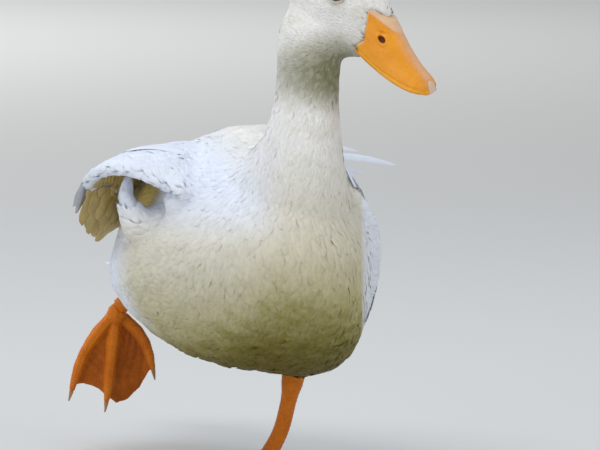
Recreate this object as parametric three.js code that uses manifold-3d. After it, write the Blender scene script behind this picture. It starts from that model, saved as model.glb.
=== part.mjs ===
// A white domestic duck of the Pekin kind, walking: one foot is on the floor, the other is kicked up behind,
// the head is turned to the duck's left, and the right wing is held a little off the body.
//
// Millimetres, +Z up. The duck faces -Y and its left side is +X.
// The finished pieces have their origin on the floor, under the middle of the standing foot's sole.

import * as THREE from "three";
import { mergeVertices } from "three/addons/utils/BufferGeometryUtils.js";
import Module from "manifold-3d";

const wasm = await Module();
wasm.setup();

// ---------------------------------------------------------------- driving sizes

const GAP = 0.3; // clearance between pieces that touch
const LEFT = 1;
const RIGHT = -1;

// The trunk as it would stand level, about its own middle. Heights are from the middle line.
const TRUNK = { front: -166, rear: 172, rings: 19, around: 20 };
// How square the trunk's section is in each quarter: 2 is round. Its weight hangs over the standing leg.
const CORNER = { topLeft: 1.75, topRight: 1.9, bottomLeft: 4.4, bottomRight: 1.85 };
// Where the trunk's middle is, and how it is carried: breast up, leaning over the standing leg.
const CARRIAGE = { x: -25, y: 4, z: 157, pitchUp: 12, rollLeft: 12 };

const NECK = { rings: 11, around: 20 };
const HEAD = { x: -1, y: -127, z: 388, turnLeft: 43, noseDown: 22, tiltRight: 8, rings: 10, around: 18 };
const EYE = { forward: 18, side: 22, up: 9.5, radius: 5.2 };
const BILL = { base: 41, length: 75, droop: 21.5, baseUp: -3, rings: 9, roof: 10, floor: 2 };
const NOSTRIL = { fromBase: 18, up: 3, length: 7, height: 3.2, depth: 2.6, side: 10.4 };
const NAIL = { radius: 5.2, fromTip: 2.4 };

// A wing is a leaf from its bend in front to the primaries' tip, parted along the trunk at its cut.
const WING = { front: -92, tip: 216, columns: 22, rows: 6, cut: 96, width: 90 };
const FEATHERS = { clearance: 3, thick: 2.4, foldedArmThick: 11, liftedArmThick: 5, tips: 4 };

const TAIL = {
  front: 128,
  rear: 252,
  halfWidth: 40,
  baseHalfWidth: 26,
  thick: 4,
  baseThick: 18,
  feathers: 9,
};

const TOE = {
  inner: 57,
  middle: 74,
  outer: 74,
  hind: 17,
  rootRadius: 5.4,
  tipRadius: 3.2,
  height: 2.5,
  claw: 8.5,
};
const WEB_THICK = 1.5;
const SHANK = { rootRadius: 7.0, waistRadius: 6.3, hockRadius: 9.4 };

// ---------------------------------------------------------------- materials

const material = (color, roughness) => new THREE.MeshStandardMaterial({ color, roughness, metalness: 0 });
const plumage = material(0xf1eee4, 0.9);
const billHorn = material(0xf0962a, 0.45);
const nailHorn = material(0xe9b98a, 0.4);
const legSkin = material(0xd9621d, 0.6);
const clawHorn = material(0x6b4a33, 0.5);
const eyeball = material(0x1a120e, 0.08);

// ---------------------------------------------------------------- helpers

const rad = THREE.MathUtils.degToRad;
const mix = THREE.MathUtils.lerp;
const vec = (x, y, z) => new THREE.Vector3(x, y, z);
const hump = (t) => Math.sin(Math.PI * THREE.MathUtils.clamp(t, 0, 1));

// A smooth value through a few [place, value] keys, without overshoot.
function through(...keys) {
  const slope = keys.map((key, i) => {
    if (i === 0 || i === keys.length - 1) return 0;
    const before = (key[1] - keys[i - 1][1]) / (key[0] - keys[i - 1][0]);
    const after = (keys[i + 1][1] - key[1]) / (keys[i + 1][0] - key[0]);
    return before * after > 0 ? (2 * before * after) / (before + after) : 0;
  });
  return (place) => {
    if (place <= keys[0][0]) return keys[0][1];
    const i = keys.findIndex((key) => key[0] >= place);
    if (i < 0) return keys[keys.length - 1][1];
    const [x0, y0] = keys[i - 1];
    const [x1, y1] = keys[i];
    const h = x1 - x0;
    const t = (place - x0) / h;
    const t2 = t * t;
    const t3 = t2 * t;
    return (
      y0 * (2 * t3 - 3 * t2 + 1) +
      slope[i - 1] * h * (t3 - 2 * t2 + t) +
      y1 * (3 * t2 - 2 * t3) +
      slope[i] * h * (t3 - t2)
    );
  };
}

// A closed solid through rings of points. Ends are closed to their middle, or across when the ring
// is a thin strip.
function loft(rings, thinStrip = false) {
  const around = rings[0].length;
  const points = rings.flat();
  const index = [];
  for (let i = 0; i < rings.length - 1; i++) {
    for (let j = 0; j < around; j++) {
      const a = i * around + j;
      const b = i * around + ((j + 1) % around);
      index.push(a, b, b + around, a, b + around, a + around);
    }
  }
  for (const [ring, flip] of [[0, true], [rings.length - 1, false]]) {
    const at = ring * around;
    const cap = [];
    if (thinStrip) {
      for (let j = 0; j < around / 2 - 1; j++) {
        const k = around - 1 - j;
        cap.push([at + j, at + j + 1, at + k - 1], [at + j, at + k - 1, at + k]);
      }
    } else {
      const middle = points.length;
      const sum = rings[ring].reduce((total, p) => total.add(p), vec(0, 0, 0));
      points.push(sum.divideScalar(around));
      for (let j = 0; j < around; j++) cap.push([at + j, at + ((j + 1) % around), middle]);
    }
    for (const [a, b, c] of cap) index.push(...(flip ? [a, c, b] : [a, b, c]));
  }
  const geometry = new THREE.BufferGeometry().setFromPoints(points);
  geometry.setIndex(index);
  return solid(geometry);
}

// A three.js geometry as a solid, turned the right way out.
function solid(geometry, matrix = new THREE.Matrix4()) {
  const bare = geometry.clone().applyMatrix4(matrix);
  bare.deleteAttribute("normal");
  bare.deleteAttribute("uv");
  const merged = mergeVertices(bare, 1e-4);
  const triVerts = new Uint32Array(merged.index.array);
  const make = () =>
    new wasm.Manifold(
      new wasm.Mesh({ numProp: 3, vertProperties: merged.attributes.position.array, triVerts }),
    );
  if (make().volume() >= 0) return make();
  for (let i = 0; i < triVerts.length; i += 3) {
    [triVerts[i + 1], triVerts[i + 2]] = [triVerts[i + 2], triVerts[i + 1]];
  }
  return make();
}

const largest = (made) => made.decompose().sort((a, b) => b.volume() - a.volume())[0];
const joined = (...solids) => solids.reduce((all, next) => all.add(next));

function meshOf(name, made, finish) {
  const { numProp, vertProperties, triVerts } = largest(made).getMesh();
  const positions = new Float32Array((vertProperties.length / numProp) * 3);
  for (let i = 0; i < positions.length / 3; i++) {
    positions.set(vertProperties.subarray(i * numProp, i * numProp + 3), i * 3);
  }
  const geometry = new THREE.BufferGeometry();
  geometry.setAttribute("position", new THREE.BufferAttribute(positions, 3));
  geometry.setIndex(new THREE.BufferAttribute(new Uint32Array(triVerts), 1));
  geometry.translate(-soleMiddle.x, -soleMiddle.y, 0);
  geometry.computeVertexNormals();
  const mesh = new THREE.Mesh(geometry, finish);
  mesh.name = name;
  return mesh;
}

// A box that fills everything on one side of a plane.
function halfSpace(point, normal) {
  const size = 1500;
  const turn = new THREE.Quaternion().setFromUnitVectors(vec(0, 0, 1), normal.clone().normalize());
  const centre = point.clone().addScaledVector(normal.clone().normalize(), size / 2);
  const place = new THREE.Matrix4().compose(centre, turn, vec(1, 1, 1));
  return solid(new THREE.BoxGeometry(size, size, size), place);
}

// Parts a solid at a plane, with the clearance between the two sides.
function part(made, point, normal) {
  const step = normal.clone().normalize().multiplyScalar(GAP / 2);
  return [
    made.intersect(halfSpace(point.clone().add(step), normal)),
    made.intersect(halfSpace(point.clone().sub(step), normal.clone().negate())),
  ];
}

// ---------------------------------------------------------------- trunk

const carriage = new THREE.Matrix4()
  .makeTranslation(CARRIAGE.x, CARRIAGE.y, CARRIAGE.z)
  .multiply(new THREE.Matrix4().makeRotationX(-rad(CARRIAGE.pitchUp)))
  .multiply(new THREE.Matrix4().makeRotationY(rad(CARRIAGE.rollLeft)));

const trunkShape = {
  halfWidth: through([0, 92], [0.25, 95], [0.47, 96], [0.7, 90], [1, 72]),
  back: through([0, 74], [0.2, 102], [0.37, 123], [0.52, 124], [0.66, 118], [0.82, 100], [1, 78]),
  belly: through([0, 70], [0.25, 78], [0.41, 78], [0.55, 67], [0.7, 48], [0.85, 28], [1, 14]),
  middle: through([0, 0], [0.5, 0], [0.75, 6], [1, 24]),
  swell: (u) => Math.pow(hump(u), u < 0.5 ? 0.86 : 0.96),
};

const alongTrunk = (u) => mix(TRUNK.front, TRUNK.rear, (1 - Math.cos(Math.PI * u)) / 2);

function trunkPlace(y) {
  const share = THREE.MathUtils.clamp((y - TRUNK.front) / (TRUNK.rear - TRUNK.front), 0, 1);
  return Math.acos(1 - 2 * share) / Math.PI;
}

// The larger of two sizes, rounded where they cross.
const softMax = (a, b) => Math.pow(Math.pow(Math.max(a, 0), 4) + Math.pow(b, 4), 0.25);

// The trunk's section at a place along it, grown outwards.
// Past the trunk's rear, least keeps a slim rump under the wing tips.
function trunkSection(y, outwards, least) {
  const u = trunkPlace(y);
  const swell = trunkShape.swell(u);
  return {
    width: softMax(trunkShape.halfWidth(u) * swell, least) + outwards,
    above: softMax(trunkShape.back(u) * swell, least * 0.9) + outwards,
    below: softMax(trunkShape.belly(u) * swell, least * 0.5) + outwards,
    middle: trunkShape.middle(u),
  };
}

function squareness(leftward, upward) {
  const high = THREE.MathUtils.smoothstep(upward, -0.4, 0.4);
  const left = THREE.MathUtils.smoothstep(leftward, -0.4, 0.4);
  const top = mix(CORNER.topRight, CORNER.topLeft, left);
  const bottom = mix(CORNER.bottomRight, CORNER.bottomLeft, left);
  return mix(bottom, top, high);
}

// A point of the level trunk's surface. The angle is 0 on the left side and 90 at the top.
function trunkPoint(y, angle, outwards = 0, least = 0) {
  const { width, above, below, middle } = trunkSection(y, outwards, least);
  const c = Math.cos(angle);
  const s = Math.sin(angle);
  const power = 2 / squareness(c, s);
  const x = width * Math.sign(c) * Math.pow(Math.abs(c), power);
  const z = (s > 0 ? above : below) * Math.sign(s) * Math.pow(Math.abs(s), power);
  return vec(x, y, z + middle);
}

// Moves a point that is inside the carried trunk, or too close to it, straight out from its middle line.
function outOfTrunk(point, outwards) {
  const p = point.clone().applyMatrix4(carriage.clone().invert());
  const { width, above, below, middle } = trunkSection(p.y, outwards, 0);
  const across = p.x / width;
  const up = (p.z - middle) / (p.z > middle ? above : below);
  const size = Math.hypot(across, up);
  const corner = squareness(across / size, up / size);
  const share = Math.pow(Math.pow(Math.abs(across), corner) + Math.pow(Math.abs(up), corner), 1 / corner);
  if (share < 1) p.set(p.x / share, p.y, middle + (p.z - middle) / share);
  return p.applyMatrix4(carriage);
}

function trunkBody(grow = 0) {
  const rings = [];
  const inset = 0.022; // the first and last ring are small but not points
  for (let i = 0; i <= TRUNK.rings; i++) {
    const u = mix(inset, 1 - inset, i / TRUNK.rings);
    const reach = grow * -Math.cos(Math.PI * u);
    const ring = [];
    for (let j = 0; j < TRUNK.around; j++) {
      const p = trunkPoint(alongTrunk(u), (2 * Math.PI * j) / TRUNK.around, grow);
      p.y += reach;
      ring.push(p.applyMatrix4(carriage));
    }
    rings.push(ring);
  }
  return loft(rings);
}

// An egg-shaped swelling between two points.
function swelling(from, to, radiusAt, rings = 6, around = 10) {
  const axis = to.clone().sub(from);
  const forward = axis.clone().normalize();
  const side = vec(1, 0, 0).addScaledVector(forward, -forward.x).normalize();
  const other = forward.clone().cross(side);
  const made = [];
  for (let i = 0; i <= rings; i++) {
    const t = mix(0.02, 0.98, i / rings);
    const centre = from.clone().addScaledVector(axis, t);
    const ring = [];
    for (let j = 0; j < around; j++) {
      const a = (2 * Math.PI * j) / around;
      const r = radiusAt(t);
      ring.push(
        centre.clone().addScaledVector(side, r * Math.cos(a)).addScaledVector(other, r * Math.sin(a)),
      );
    }
    made.push(ring);
  }
  return loft(made);
}

// Feathered thighs, mostly sunk in the belly.
const thighRadius = (t) => 34 * Math.pow(hump(mix(0.12, 0.93, t)), 0.7) * mix(1.15, 0.62, t);
const thighs = () => [
  swelling(vec(34, -28, 150), vec(24, 1, 76), thighRadius),
  swelling(vec(-56, 12, 146), vec(-62, 92, 132), (t) => thighRadius(t) * 0.76),
];

// Flank feathers that stand up under the lifted wing, as a pointed tuft.
function flankTuft() {
  const rings = [];
  const steps = 6;
  const sides = 9;
  for (let i = 0; i <= steps; i++) {
    const t = i / steps;
    const narrowing = Math.pow(t, 0.75);
    const halfLength = mix(22, 3.5, narrowing);
    const halfWidth = mix(13, 1.5, narrowing);
    const ring = [];
    for (let j = 0; j < sides; j++) {
      const a = (2 * Math.PI * j) / sides;
      const x = mix(-108, -121, t) + halfWidth * Math.cos(a);
      const y = mix(-12, -8, t) + halfLength * Math.sin(a);
      ring.push(vec(x, y, mix(190, 243, t)));
    }
    rings.push(ring);
  }
  return loft(rings);
}

// ---------------------------------------------------------------- neck

const neckLine = new THREE.CatmullRomCurve3([
  vec(-20, -72, 200),
  vec(-18, -101, 238),
  vec(-17, -117, 269),
  vec(-15, -121, 304),
  vec(-13, -121, 336),
  vec(-9, -120, 378),
]);
const neckHalfWidth = through(
  [0, 74], [0.2, 53], [0.36, 37], [0.52, 28], [0.7, 24.5], [0.85, 25.6], [0.94, 24], [1, 18],
);
const neckHalfDepth = through(
  [0, 72], [0.2, 56], [0.36, 41], [0.52, 30], [0.7, 25.5], [0.85, 26.6], [0.94, 25], [1, 18],
);

function neckBody(grow = 0) {
  const rings = [];
  for (let i = 0; i <= NECK.rings; i++) {
    const t = i / NECK.rings;
    const centre = neckLine.getPointAt(t);
    const up = neckLine.getTangentAt(t);
    const side = vec(1, 0, 0).addScaledVector(up, -up.x).normalize();
    const front = side.clone().cross(up);
    const ring = [];
    for (let j = 0; j < NECK.around; j++) {
      const a = (2 * Math.PI * j) / NECK.around;
      ring.push(
        centre
          .clone()
          .addScaledVector(side, (neckHalfWidth(t) + grow) * Math.cos(a))
          .addScaledVector(front, (neckHalfDepth(t) + grow) * Math.sin(a)),
      );
    }
    rings.push(ring);
  }
  return loft(rings);
}

// ---------------------------------------------------------------- head

// The head's own frame: x to the duck's left, y backwards, z up, so that forward is -y.
const headFrame = new THREE.Matrix4()
  .makeTranslation(HEAD.x, HEAD.y, HEAD.z)
  .multiply(new THREE.Matrix4().makeRotationZ(rad(HEAD.turnLeft)))
  .multiply(new THREE.Matrix4().makeRotationX(rad(HEAD.noseDown)))
  .multiply(new THREE.Matrix4().makeRotationY(-rad(HEAD.tiltRight)));
const inHead = (forward, side, up) => vec(side, -forward, up).applyMatrix4(headFrame);

const headShape = {
  back: -29,
  front: 62,
  halfWidth: through(
    [-29, 0], [-25, 14], [-15, 22.5], [0, 27], [14, 25.8], [28, 21], [41, 15], [52, 10], [62, 0],
  ),
  crown: through(
    [-29, 0], [-25, 13], [-14, 24.5], [2, 30], [16, 30.5], [30, 27.5], [42, 22], [52, 14], [62, 5],
  ),
  throat: through(
    [-29, 0], [-25, 18], [-12, 31], [4, 38], [22, 42], [34, 42], [43, 36], [50, 24], [55, 6],
    [62, -3],
  ),
};

function headBody(grow = 0) {
  const rings = [];
  for (let i = 0; i <= HEAD.rings; i++) {
    const share = (1 - Math.cos(Math.PI * mix(0.06, 0.97, i / HEAD.rings))) / 2;
    const forward = mix(headShape.back, headShape.front, share);
    const reach = grow * (2 * share - 1);
    const ring = [];
    for (let j = 0; j < HEAD.around; j++) {
      const a = (2 * Math.PI * j) / HEAD.around;
      const s = Math.sin(a);
      const up = (s > 0 ? headShape.crown(forward) : headShape.throat(forward)) + grow;
      // Cheeks are full low down, and the crown is narrower.
      const width = headShape.halfWidth(forward) * mix(0.93, 1, (1 - s) / 2) + grow;
      ring.push(inHead(forward + reach, width * Math.cos(a), up * s));
    }
    rings.push(ring);
  }
  return loft(rings);
}

// The feather line in the head's side view, as forward and up: it rises from the gape to an apex
// on each side, and runs down from there to a point on the forehead.
const featherLine = { gape: [42.5, -23.6], hook: [47.3, -17.3], apex: [42, 8.8], point: [58.5, 4.6] };
// The bill's lower edge, and what bounds the space in front of the feather line beyond the bill.
const billUnderside = [[47, -29.2], [64.5, -35.7], [84, -45], [130, -45], [130, -13.6]];

// The space in front of the feather line, where the face is bare horn.
function bareFace(inset = 0) {
  const { gape, hook, apex, point } = featherLine;
  const line = [gape, hook, apex, point].map(([forward, up], i) => [forward + inset, i < 2 ? up : up - inset]);
  const outline = new THREE.Shape(
    [...line, ...billUnderside.toReversed()].map(([forward, up]) => new THREE.Vector2(forward, up)),
  );
  const width = 80;
  const across = new THREE.Matrix4().makeBasis(vec(0, -1, 0), vec(0, 0, 1), vec(-1, 0, 0));
  return solid(
    new THREE.ExtrudeGeometry(outline, { depth: width, bevelEnabled: false }),
    headFrame.clone().multiply(across).multiply(new THREE.Matrix4().makeTranslation(0, 0, -width / 2)),
  );
}

// ---------------------------------------------------------------- bill

// The bill's own frame sits on the face and droops from the head's line.
const billFrame = headFrame
  .clone()
  .multiply(new THREE.Matrix4().makeTranslation(0, -BILL.base, BILL.baseUp))
  .multiply(new THREE.Matrix4().makeRotationX(rad(BILL.droop)));

const billShape = {
  halfWidth: through([0, 14.6], [0.25, 14], [0.5, 13.6], [0.72, 14.8], [0.86, 15.6], [0.95, 12.8], [1, 7]),
  culmen: through([0, 18], [0.14, 16.5], [0.34, 10.5], [0.55, 4.5], [0.75, 0.6], [0.92, -1.8], [1, -5]),
  edge: through([0, -19], [0.2, -22], [0.45, -21.5], [0.7, -17.6], [0.9, -11.6], [1, -8.4]),
  chin: through([0, -24], [0.2, -25.5], [0.45, -24], [0.7, -20.2], [0.9, -14], [1, -10.4]),
};
const billRings = (section) => {
  const rings = [];
  for (let i = 0; i <= BILL.rings; i++) {
    const t = Math.sin((Math.PI / 2) * (i / BILL.rings));
    rings.push(section(t).map(([x, z]) => vec(x, -BILL.length * t, z).applyMatrix4(billFrame)));
  }
  return rings;
};

// The upper mandible is a roof with a flat floor.
function upperBill() {
  return loft(
    billRings((t) => {
      const edge = billShape.edge(t);
      const high = billShape.culmen(t) - edge;
      const half = billShape.halfWidth(t);
      const section = [];
      for (let j = 0; j <= BILL.roof; j++) {
        const a = (Math.PI * j) / BILL.roof;
        const c = Math.cos(a);
        const roof = Math.pow(Math.sin(a), mix(1.05, 0.8, t));
        section.push([half * Math.sign(c) * Math.pow(Math.abs(c), 0.72), edge + 1 + (high - 1) * roof]);
      }
      for (let j = 0; j <= BILL.floor; j++) section.push([half * mix(-0.97, 0.97, j / BILL.floor), edge]);
      return section;
    }),
  );
}

// The lower mandible lies just inside the upper one's edges.
function lowerBill() {
  return loft(
    billRings((t) => {
      const top = billShape.edge(t) - GAP;
      const deep = top - billShape.chin(t);
      const half = billShape.halfWidth(t) - mix(2.4, 1.4, t);
      const section = [];
      for (let j = 0; j <= BILL.roof; j++) {
        const a = (Math.PI * j) / BILL.roof;
        section.push([-half * Math.cos(a), top - 0.5 - (deep - 0.5) * Math.pow(Math.sin(a), 0.7)]);
      }
      for (let j = 0; j <= BILL.floor; j++) section.push([half * mix(0.97, -0.97, j / BILL.floor), top]);
      return section;
    }),
  );
}

function nostrils() {
  return [LEFT, RIGHT].map((side) => {
    const place = vec(side * NOSTRIL.side, -NOSTRIL.fromBase, NOSTRIL.up);
    const lens = new THREE.Matrix4()
      .makeTranslation(place.x, place.y, place.z)
      .multiply(new THREE.Matrix4().makeRotationX(rad(-14)))
      .multiply(new THREE.Matrix4().makeScale(NOSTRIL.depth, NOSTRIL.length / 2, NOSTRIL.height / 2));
    return solid(new THREE.SphereGeometry(1, 8, 6), billFrame.clone().multiply(lens));
  });
}

// ---------------------------------------------------------------- wings

// A folded wing lies on the trunk as a long leaf. Angles are about the trunk, in degrees.
const wingMiddleAngle = through([0, 26], [0.25, 26], [0.55, 30], [0.8, 46], [1, 62]);
const wingSpread = through(
  [0, 5], [0.06, 22], [0.16, 36], [0.36, 44], [0.58, 42], [0.78, 30], [0.92, 14], [1, 4],
);

function foldedPoint(side, t, v, outwards) {
  const y = mix(WING.front, WING.tip, t);
  const angle = rad(wingMiddleAngle(t) + wingSpread(t) * (1 - 2 * v));
  const p = trunkPoint(y, angle, outwards, 30);
  p.x *= side;
  return p.applyMatrix4(carriage);
}

// The right wing's lower edge, lifted off the flank: out from the bend, then back in to the tip.
const liftedEdge = new THREE.CatmullRomCurve3([
  foldedPoint(RIGHT, 0, 0.4, FEATHERS.clearance),
  vec(-113, -64, 228),
  vec(-123, -49, 242),
  vec(-142, -14, 247),
  vec(-153, 20, 235),
  vec(-139, 52, 207),
  vec(-113, 86, 190),
  vec(-90, 140, 184),
  vec(-52, 216, 183),
]);

// The right wing leaves the back at its root and arches out to its free edge.
function liftedPoint(t, v, outwards) {
  const open = THREE.MathUtils.smoothstep(t, 0, 0.2);
  const arched = open * (1 - 0.75 * THREE.MathUtils.smoothstep(t, 0.45, 1));
  const edge = liftedEdge.getPoint(t);
  const section = new THREE.CubicBezierCurve3(
    foldedPoint(RIGHT, t, 0.1 * open, FEATHERS.clearance),
    foldedPoint(RIGHT, t, 0.29, FEATHERS.clearance).add(vec(0, 0, 6 * open)),
    edge.clone().add(vec(26, 0, 26).multiplyScalar(arched)),
    edge,
  );
  const across = section.getTangent(Math.min(v, 1));
  const up = vec(0, 1, 0).cross(across).normalize();
  const p = section.getPoint(Math.min(v, 1)).addScaledVector(up, outwards);
  p.addScaledVector(across, Math.max(0, v - 1) * WING.width);
  return outOfTrunk(p, FEATHERS.clearance + outwards);
}

const wingPoint = (side, t, v, outwards) =>
  side === LEFT ? foldedPoint(side, t, v, FEATHERS.clearance + outwards) : liftedPoint(t, v, outwards);

function wingBody(side) {
  const armThick = side === LEFT ? FEATHERS.foldedArmThick : FEATHERS.liftedArmThick;
  const rings = [];
  for (let i = 0; i <= WING.columns; i++) {
    const t = i / WING.columns;
    const arm = Math.exp(-Math.pow(t / 0.14, 2));
    const thick = mix(FEATHERS.thick, armThick, arm);
    const featherTip = i % 2 === 1 && t > 0.3 ? FEATHERS.tips : 0;
    const outer = [];
    const inner = [];
    for (let j = 0; j <= WING.rows; j++) {
      const v = j / WING.rows;
      const taper = 1 - 0.6 * arm * Math.pow(Math.abs(2 * v - 1), 4);
      const reach = v * (1 + (j === WING.rows ? featherTip : 0) / WING.width);
      outer.push(wingPoint(side, t, reach, thick * taper));
      inner.push(wingPoint(side, t, reach, 0));
    }
    rings.push([...outer, ...inner.reverse()]);
  }
  return loft(rings, true);
}

// A narrow feather that stands out sideways, as a thin pointed blade.
function blade(from, to, halfWidth, thick, bow) {
  const steps = 9;
  const around = 8;
  const axis = to.clone().sub(from);
  const across = vec(0, 0.8, 0.6);
  const wide = across.addScaledVector(axis, -across.dot(axis) / axis.lengthSq()).normalize();
  const flat = axis.clone().normalize().cross(wide);
  const rings = [];
  for (let i = 0; i <= steps; i++) {
    const t = i / steps;
    const centre = from.clone().addScaledVector(axis, t).addScaledVector(flat, bow * hump(t));
    const half = halfWidth * Math.pow(hump(mix(0.12, 0.985, t)), 0.6);
    const ring = [];
    for (let j = 0; j < around; j++) {
      const a = (2 * Math.PI * j) / around;
      ring.push(
        centre
          .clone()
          .addScaledVector(wide, half * Math.cos(a))
          .addScaledVector(flat, (thick / 2) * Math.sin(a)),
      );
    }
    rings.push(ring);
  }
  return loft(rings);
}

// Two feathers of the left wing stand out behind the neck.
const standOut = [
  blade(vec(44, 22, 251), vec(141, 66, 238), 7, 1.6, 3),
  blade(vec(38, 26, 256), vec(104, 62, 251), 6, 1.6, 2),
];

// ---------------------------------------------------------------- tail

// The tail is a flat fan with a notch between its feathers.
function tailBody() {
  const rings = [];
  const steps = 3;
  const across = 2 * TAIL.feathers;
  for (let i = 0; i <= steps; i++) {
    const t = i / steps;
    const half = mix(TAIL.baseHalfWidth, TAIL.halfWidth, Math.pow(t, 0.8));
    const thick = mix(TAIL.baseThick, TAIL.thick, Math.pow(t, 0.55));
    const outer = [];
    const inner = [];
    for (let j = 0; j <= across; j++) {
      const s = (2 * j) / across - 1;
      const rounded = 1 - 0.3 * s * s - (j % 2 === 0 ? 0.03 : 0);
      const y = mix(TAIL.front, mix(TAIL.front, TAIL.rear, rounded), t);
      const lift = 26 + 12 * t * t - 10 * s * s * t;
      const edge = Math.sqrt(Math.max(0.08, 1 - Math.pow(Math.abs(s), 4)));
      outer.push(vec(half * s, y, lift + (thick / 2) * edge).applyMatrix4(carriage));
      inner.push(vec(half * s, y, lift - (thick / 2) * edge).applyMatrix4(carriage));
    }
    rings.push([...outer, ...inner.reverse()]);
  }
  return loft(rings, true);
}

// ---------------------------------------------------------------- legs and feet

// A round bar along a curve. When it is grown, its ends grow as well as its sides.
function tube(curve, radiusAt, { steps, around = 6, grow = 0 }) {
  const rings = [];
  for (let i = 0; i <= steps; i++) {
    const t = i / steps;
    const along = curve.getTangentAt(t);
    const centre = curve.getPointAt(t);
    if (i === 0) centre.addScaledVector(along, -grow);
    if (i === steps) centre.addScaledVector(along, grow);
    const guide = Math.abs(along.x) > 0.9 ? vec(0, 1, 0) : vec(1, 0, 0);
    const side = guide.clone().addScaledVector(along, -along.dot(guide)).normalize();
    const other = along.clone().cross(side);
    const radius = radiusAt(t) + grow;
    const ring = [];
    for (let j = 0; j < around; j++) {
      const a = (2 * Math.PI * j) / around;
      ring.push(
        centre
          .clone()
          .addScaledVector(side, radius * Math.cos(a))
          .addScaledVector(other, radius * Math.sin(a)),
      );
    }
    rings.push(ring);
  }
  return loft(rings);
}

// A toe thins towards its claw and swells a little at each joint.
const toeRadius = (joints) => (t) =>
  mix(TOE.rootRadius, TOE.tipRadius, t) *
  (1 + 0.08 * Math.cos(2 * Math.PI * joints * t)) *
  (t === 1 ? 0.6 : 1);

// A toe's middle line in the foot's frame. curl turns it down past its root, bow pushes it out sideways.
function toeLine(side, length, angle, { curl, bow, lift }) {
  const points = [];
  for (let i = 0; i <= 6; i++) {
    const t = i / 6;
    const bend = rad(curl) * t;
    const forward = curl ? (length / rad(curl)) * Math.sin(bend) : length * t;
    const down = curl ? (length / rad(curl)) * (1 - Math.cos(bend)) : 0;
    const rise = curl ? 0 : lift * Math.pow(1 - t, 3);
    const out = Math.sign(angle) * bow * hump(t);
    const x = forward * Math.sin(rad(angle)) + out * Math.cos(rad(angle));
    const y = forward * Math.cos(rad(angle)) - out * Math.sin(rad(angle));
    points.push(vec(-side * x, -y, TOE.height + rise - down));
  }
  return new THREE.CatmullRomCurve3(points);
}

// The web between two toes. Its margin is a little hollow between their ends.
function webBetween(a, b, dip, { curl, sag }) {
  const steps = 4;
  const rows = 3;
  const rings = [];
  for (let i = 0; i <= steps; i++) {
    const s = i / steps;
    const outer = [];
    const inner = [];
    for (let j = 0; j <= rows; j++) {
      const t = mix(0.06, 0.93 - dip * Math.pow(hump(s), 0.7), j / rows);
      const reach = Math.min(t, 1);
      const p = a.getPointAt(reach).lerp(b.getPointAt(reach), s);
      p.addScaledVector(b.getTangentAt(1), (t - reach) * b.getLength());
      p.z -= sag * hump(s) * t + (curl ? 0 : TOE.height - WEB_THICK / 2 - 0.4);
      outer.push(p.clone().add(vec(0, 0, WEB_THICK / 2)));
      inner.push(p.clone().add(vec(0, 0, -WEB_THICK / 2)));
    }
    rings.push([...outer, ...inner.reverse()]);
  }
  return loft(rings, true);
}

// A webbed foot in its own frame: the toe joint is above the origin and the toes point to -y.
function footPieces(side, shape) {
  const lines = {
    inner: toeLine(side, TOE.inner, shape.spreadIn, shape),
    middle: toeLine(side, TOE.middle, 1, { ...shape, bow: 0 }),
    outer: toeLine(side, TOE.outer, -shape.spreadOut, shape),
    hind: new THREE.CatmullRomCurve3([
      vec(side * -3, 3, 8 - shape.hindDrop * 0.4),
      vec(side * -7, 10, 8.5 - shape.hindDrop),
      vec(side * -9, TOE.hind - shape.hindDrop * 0.4, 6.5 - shape.hindDrop * 1.8),
    ]),
  };
  const ball = solid(
    new THREE.SphereGeometry(1, 9, 6),
    new THREE.Matrix4().makeTranslation(0, -1, 5.4).multiply(new THREE.Matrix4().makeScale(8, 8.8, 6.8)),
  );
  const sole = joined(
    tube(lines.inner, toeRadius(2), { steps: 5 }),
    tube(lines.middle, toeRadius(3), { steps: 7 }),
    tube(lines.outer, toeRadius(4), { steps: 7 }),
    tube(lines.hind, (t) => mix(4, 2.4, t), { steps: 3 }),
    webBetween(lines.inner, lines.middle, shape.innerDip, shape),
    webBetween(lines.middle, lines.outer, shape.outerDip, shape),
    ball,
  );
  // A claw grows out of each toe's end and curves down.
  const claws = {};
  for (const [name, line] of Object.entries(lines)) {
    const ahead = line.getTangentAt(1);
    const long = name === "hind" ? TOE.claw * 0.6 : TOE.claw;
    const start = line.getPointAt(1).addScaledVector(ahead, GAP);
    const tip = start.clone().addScaledVector(ahead, long).add(vec(0, 0, -1.1));
    const bow = start.clone().lerp(tip, 0.5).add(vec(0, 0, 0.8));
    const clawLine = new THREE.QuadraticBezierCurve3(start, bow, tip);
    claws[name] = tube(clawLine, (t) => mix(1.75, 0.35, t), { steps: 3, around: 6 });
  }
  return { sole, claws };
}

const placed = (made, matrix) => made.transform(matrix.toArray());

const shankRadius = through(
  [0, SHANK.rootRadius],
  [0.14, SHANK.waistRadius],
  [0.52, SHANK.waistRadius],
  [0.74, SHANK.hockRadius],
  [0.86, SHANK.hockRadius * 0.92],
  [1, SHANK.hockRadius * 0.8],
);
const legBody = (line, grow = 0) => tube(line, shankRadius, { steps: 12, around: 10, grow });

// The standing foot carries the duck, with its toes turned in.
const standing = {
  shape: {
    spreadIn: 33,
    spreadOut: 27,
    curl: 0,
    bow: 2,
    sag: 0,
    lift: 4.6,
    hindDrop: 0,
    innerDip: 0.12,
    outerDip: 0.12,
  },
  joint: vec(8, 24, 0),
  toeIn: 30,
};
const standingFrame = new THREE.Matrix4()
  .makeTranslation(standing.joint.x, standing.joint.y, standing.joint.z)
  .multiply(new THREE.Matrix4().makeRotationZ(-rad(standing.toeIn)));
const standingLeg = new THREE.CatmullRomCurve3([
  vec(10, 23, 9),
  vec(18.5, 18, 28),
  vec(22.4, 11, 52),
  vec(24, 3, 76),
  vec(24.5, -5, 98),
]);

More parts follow.
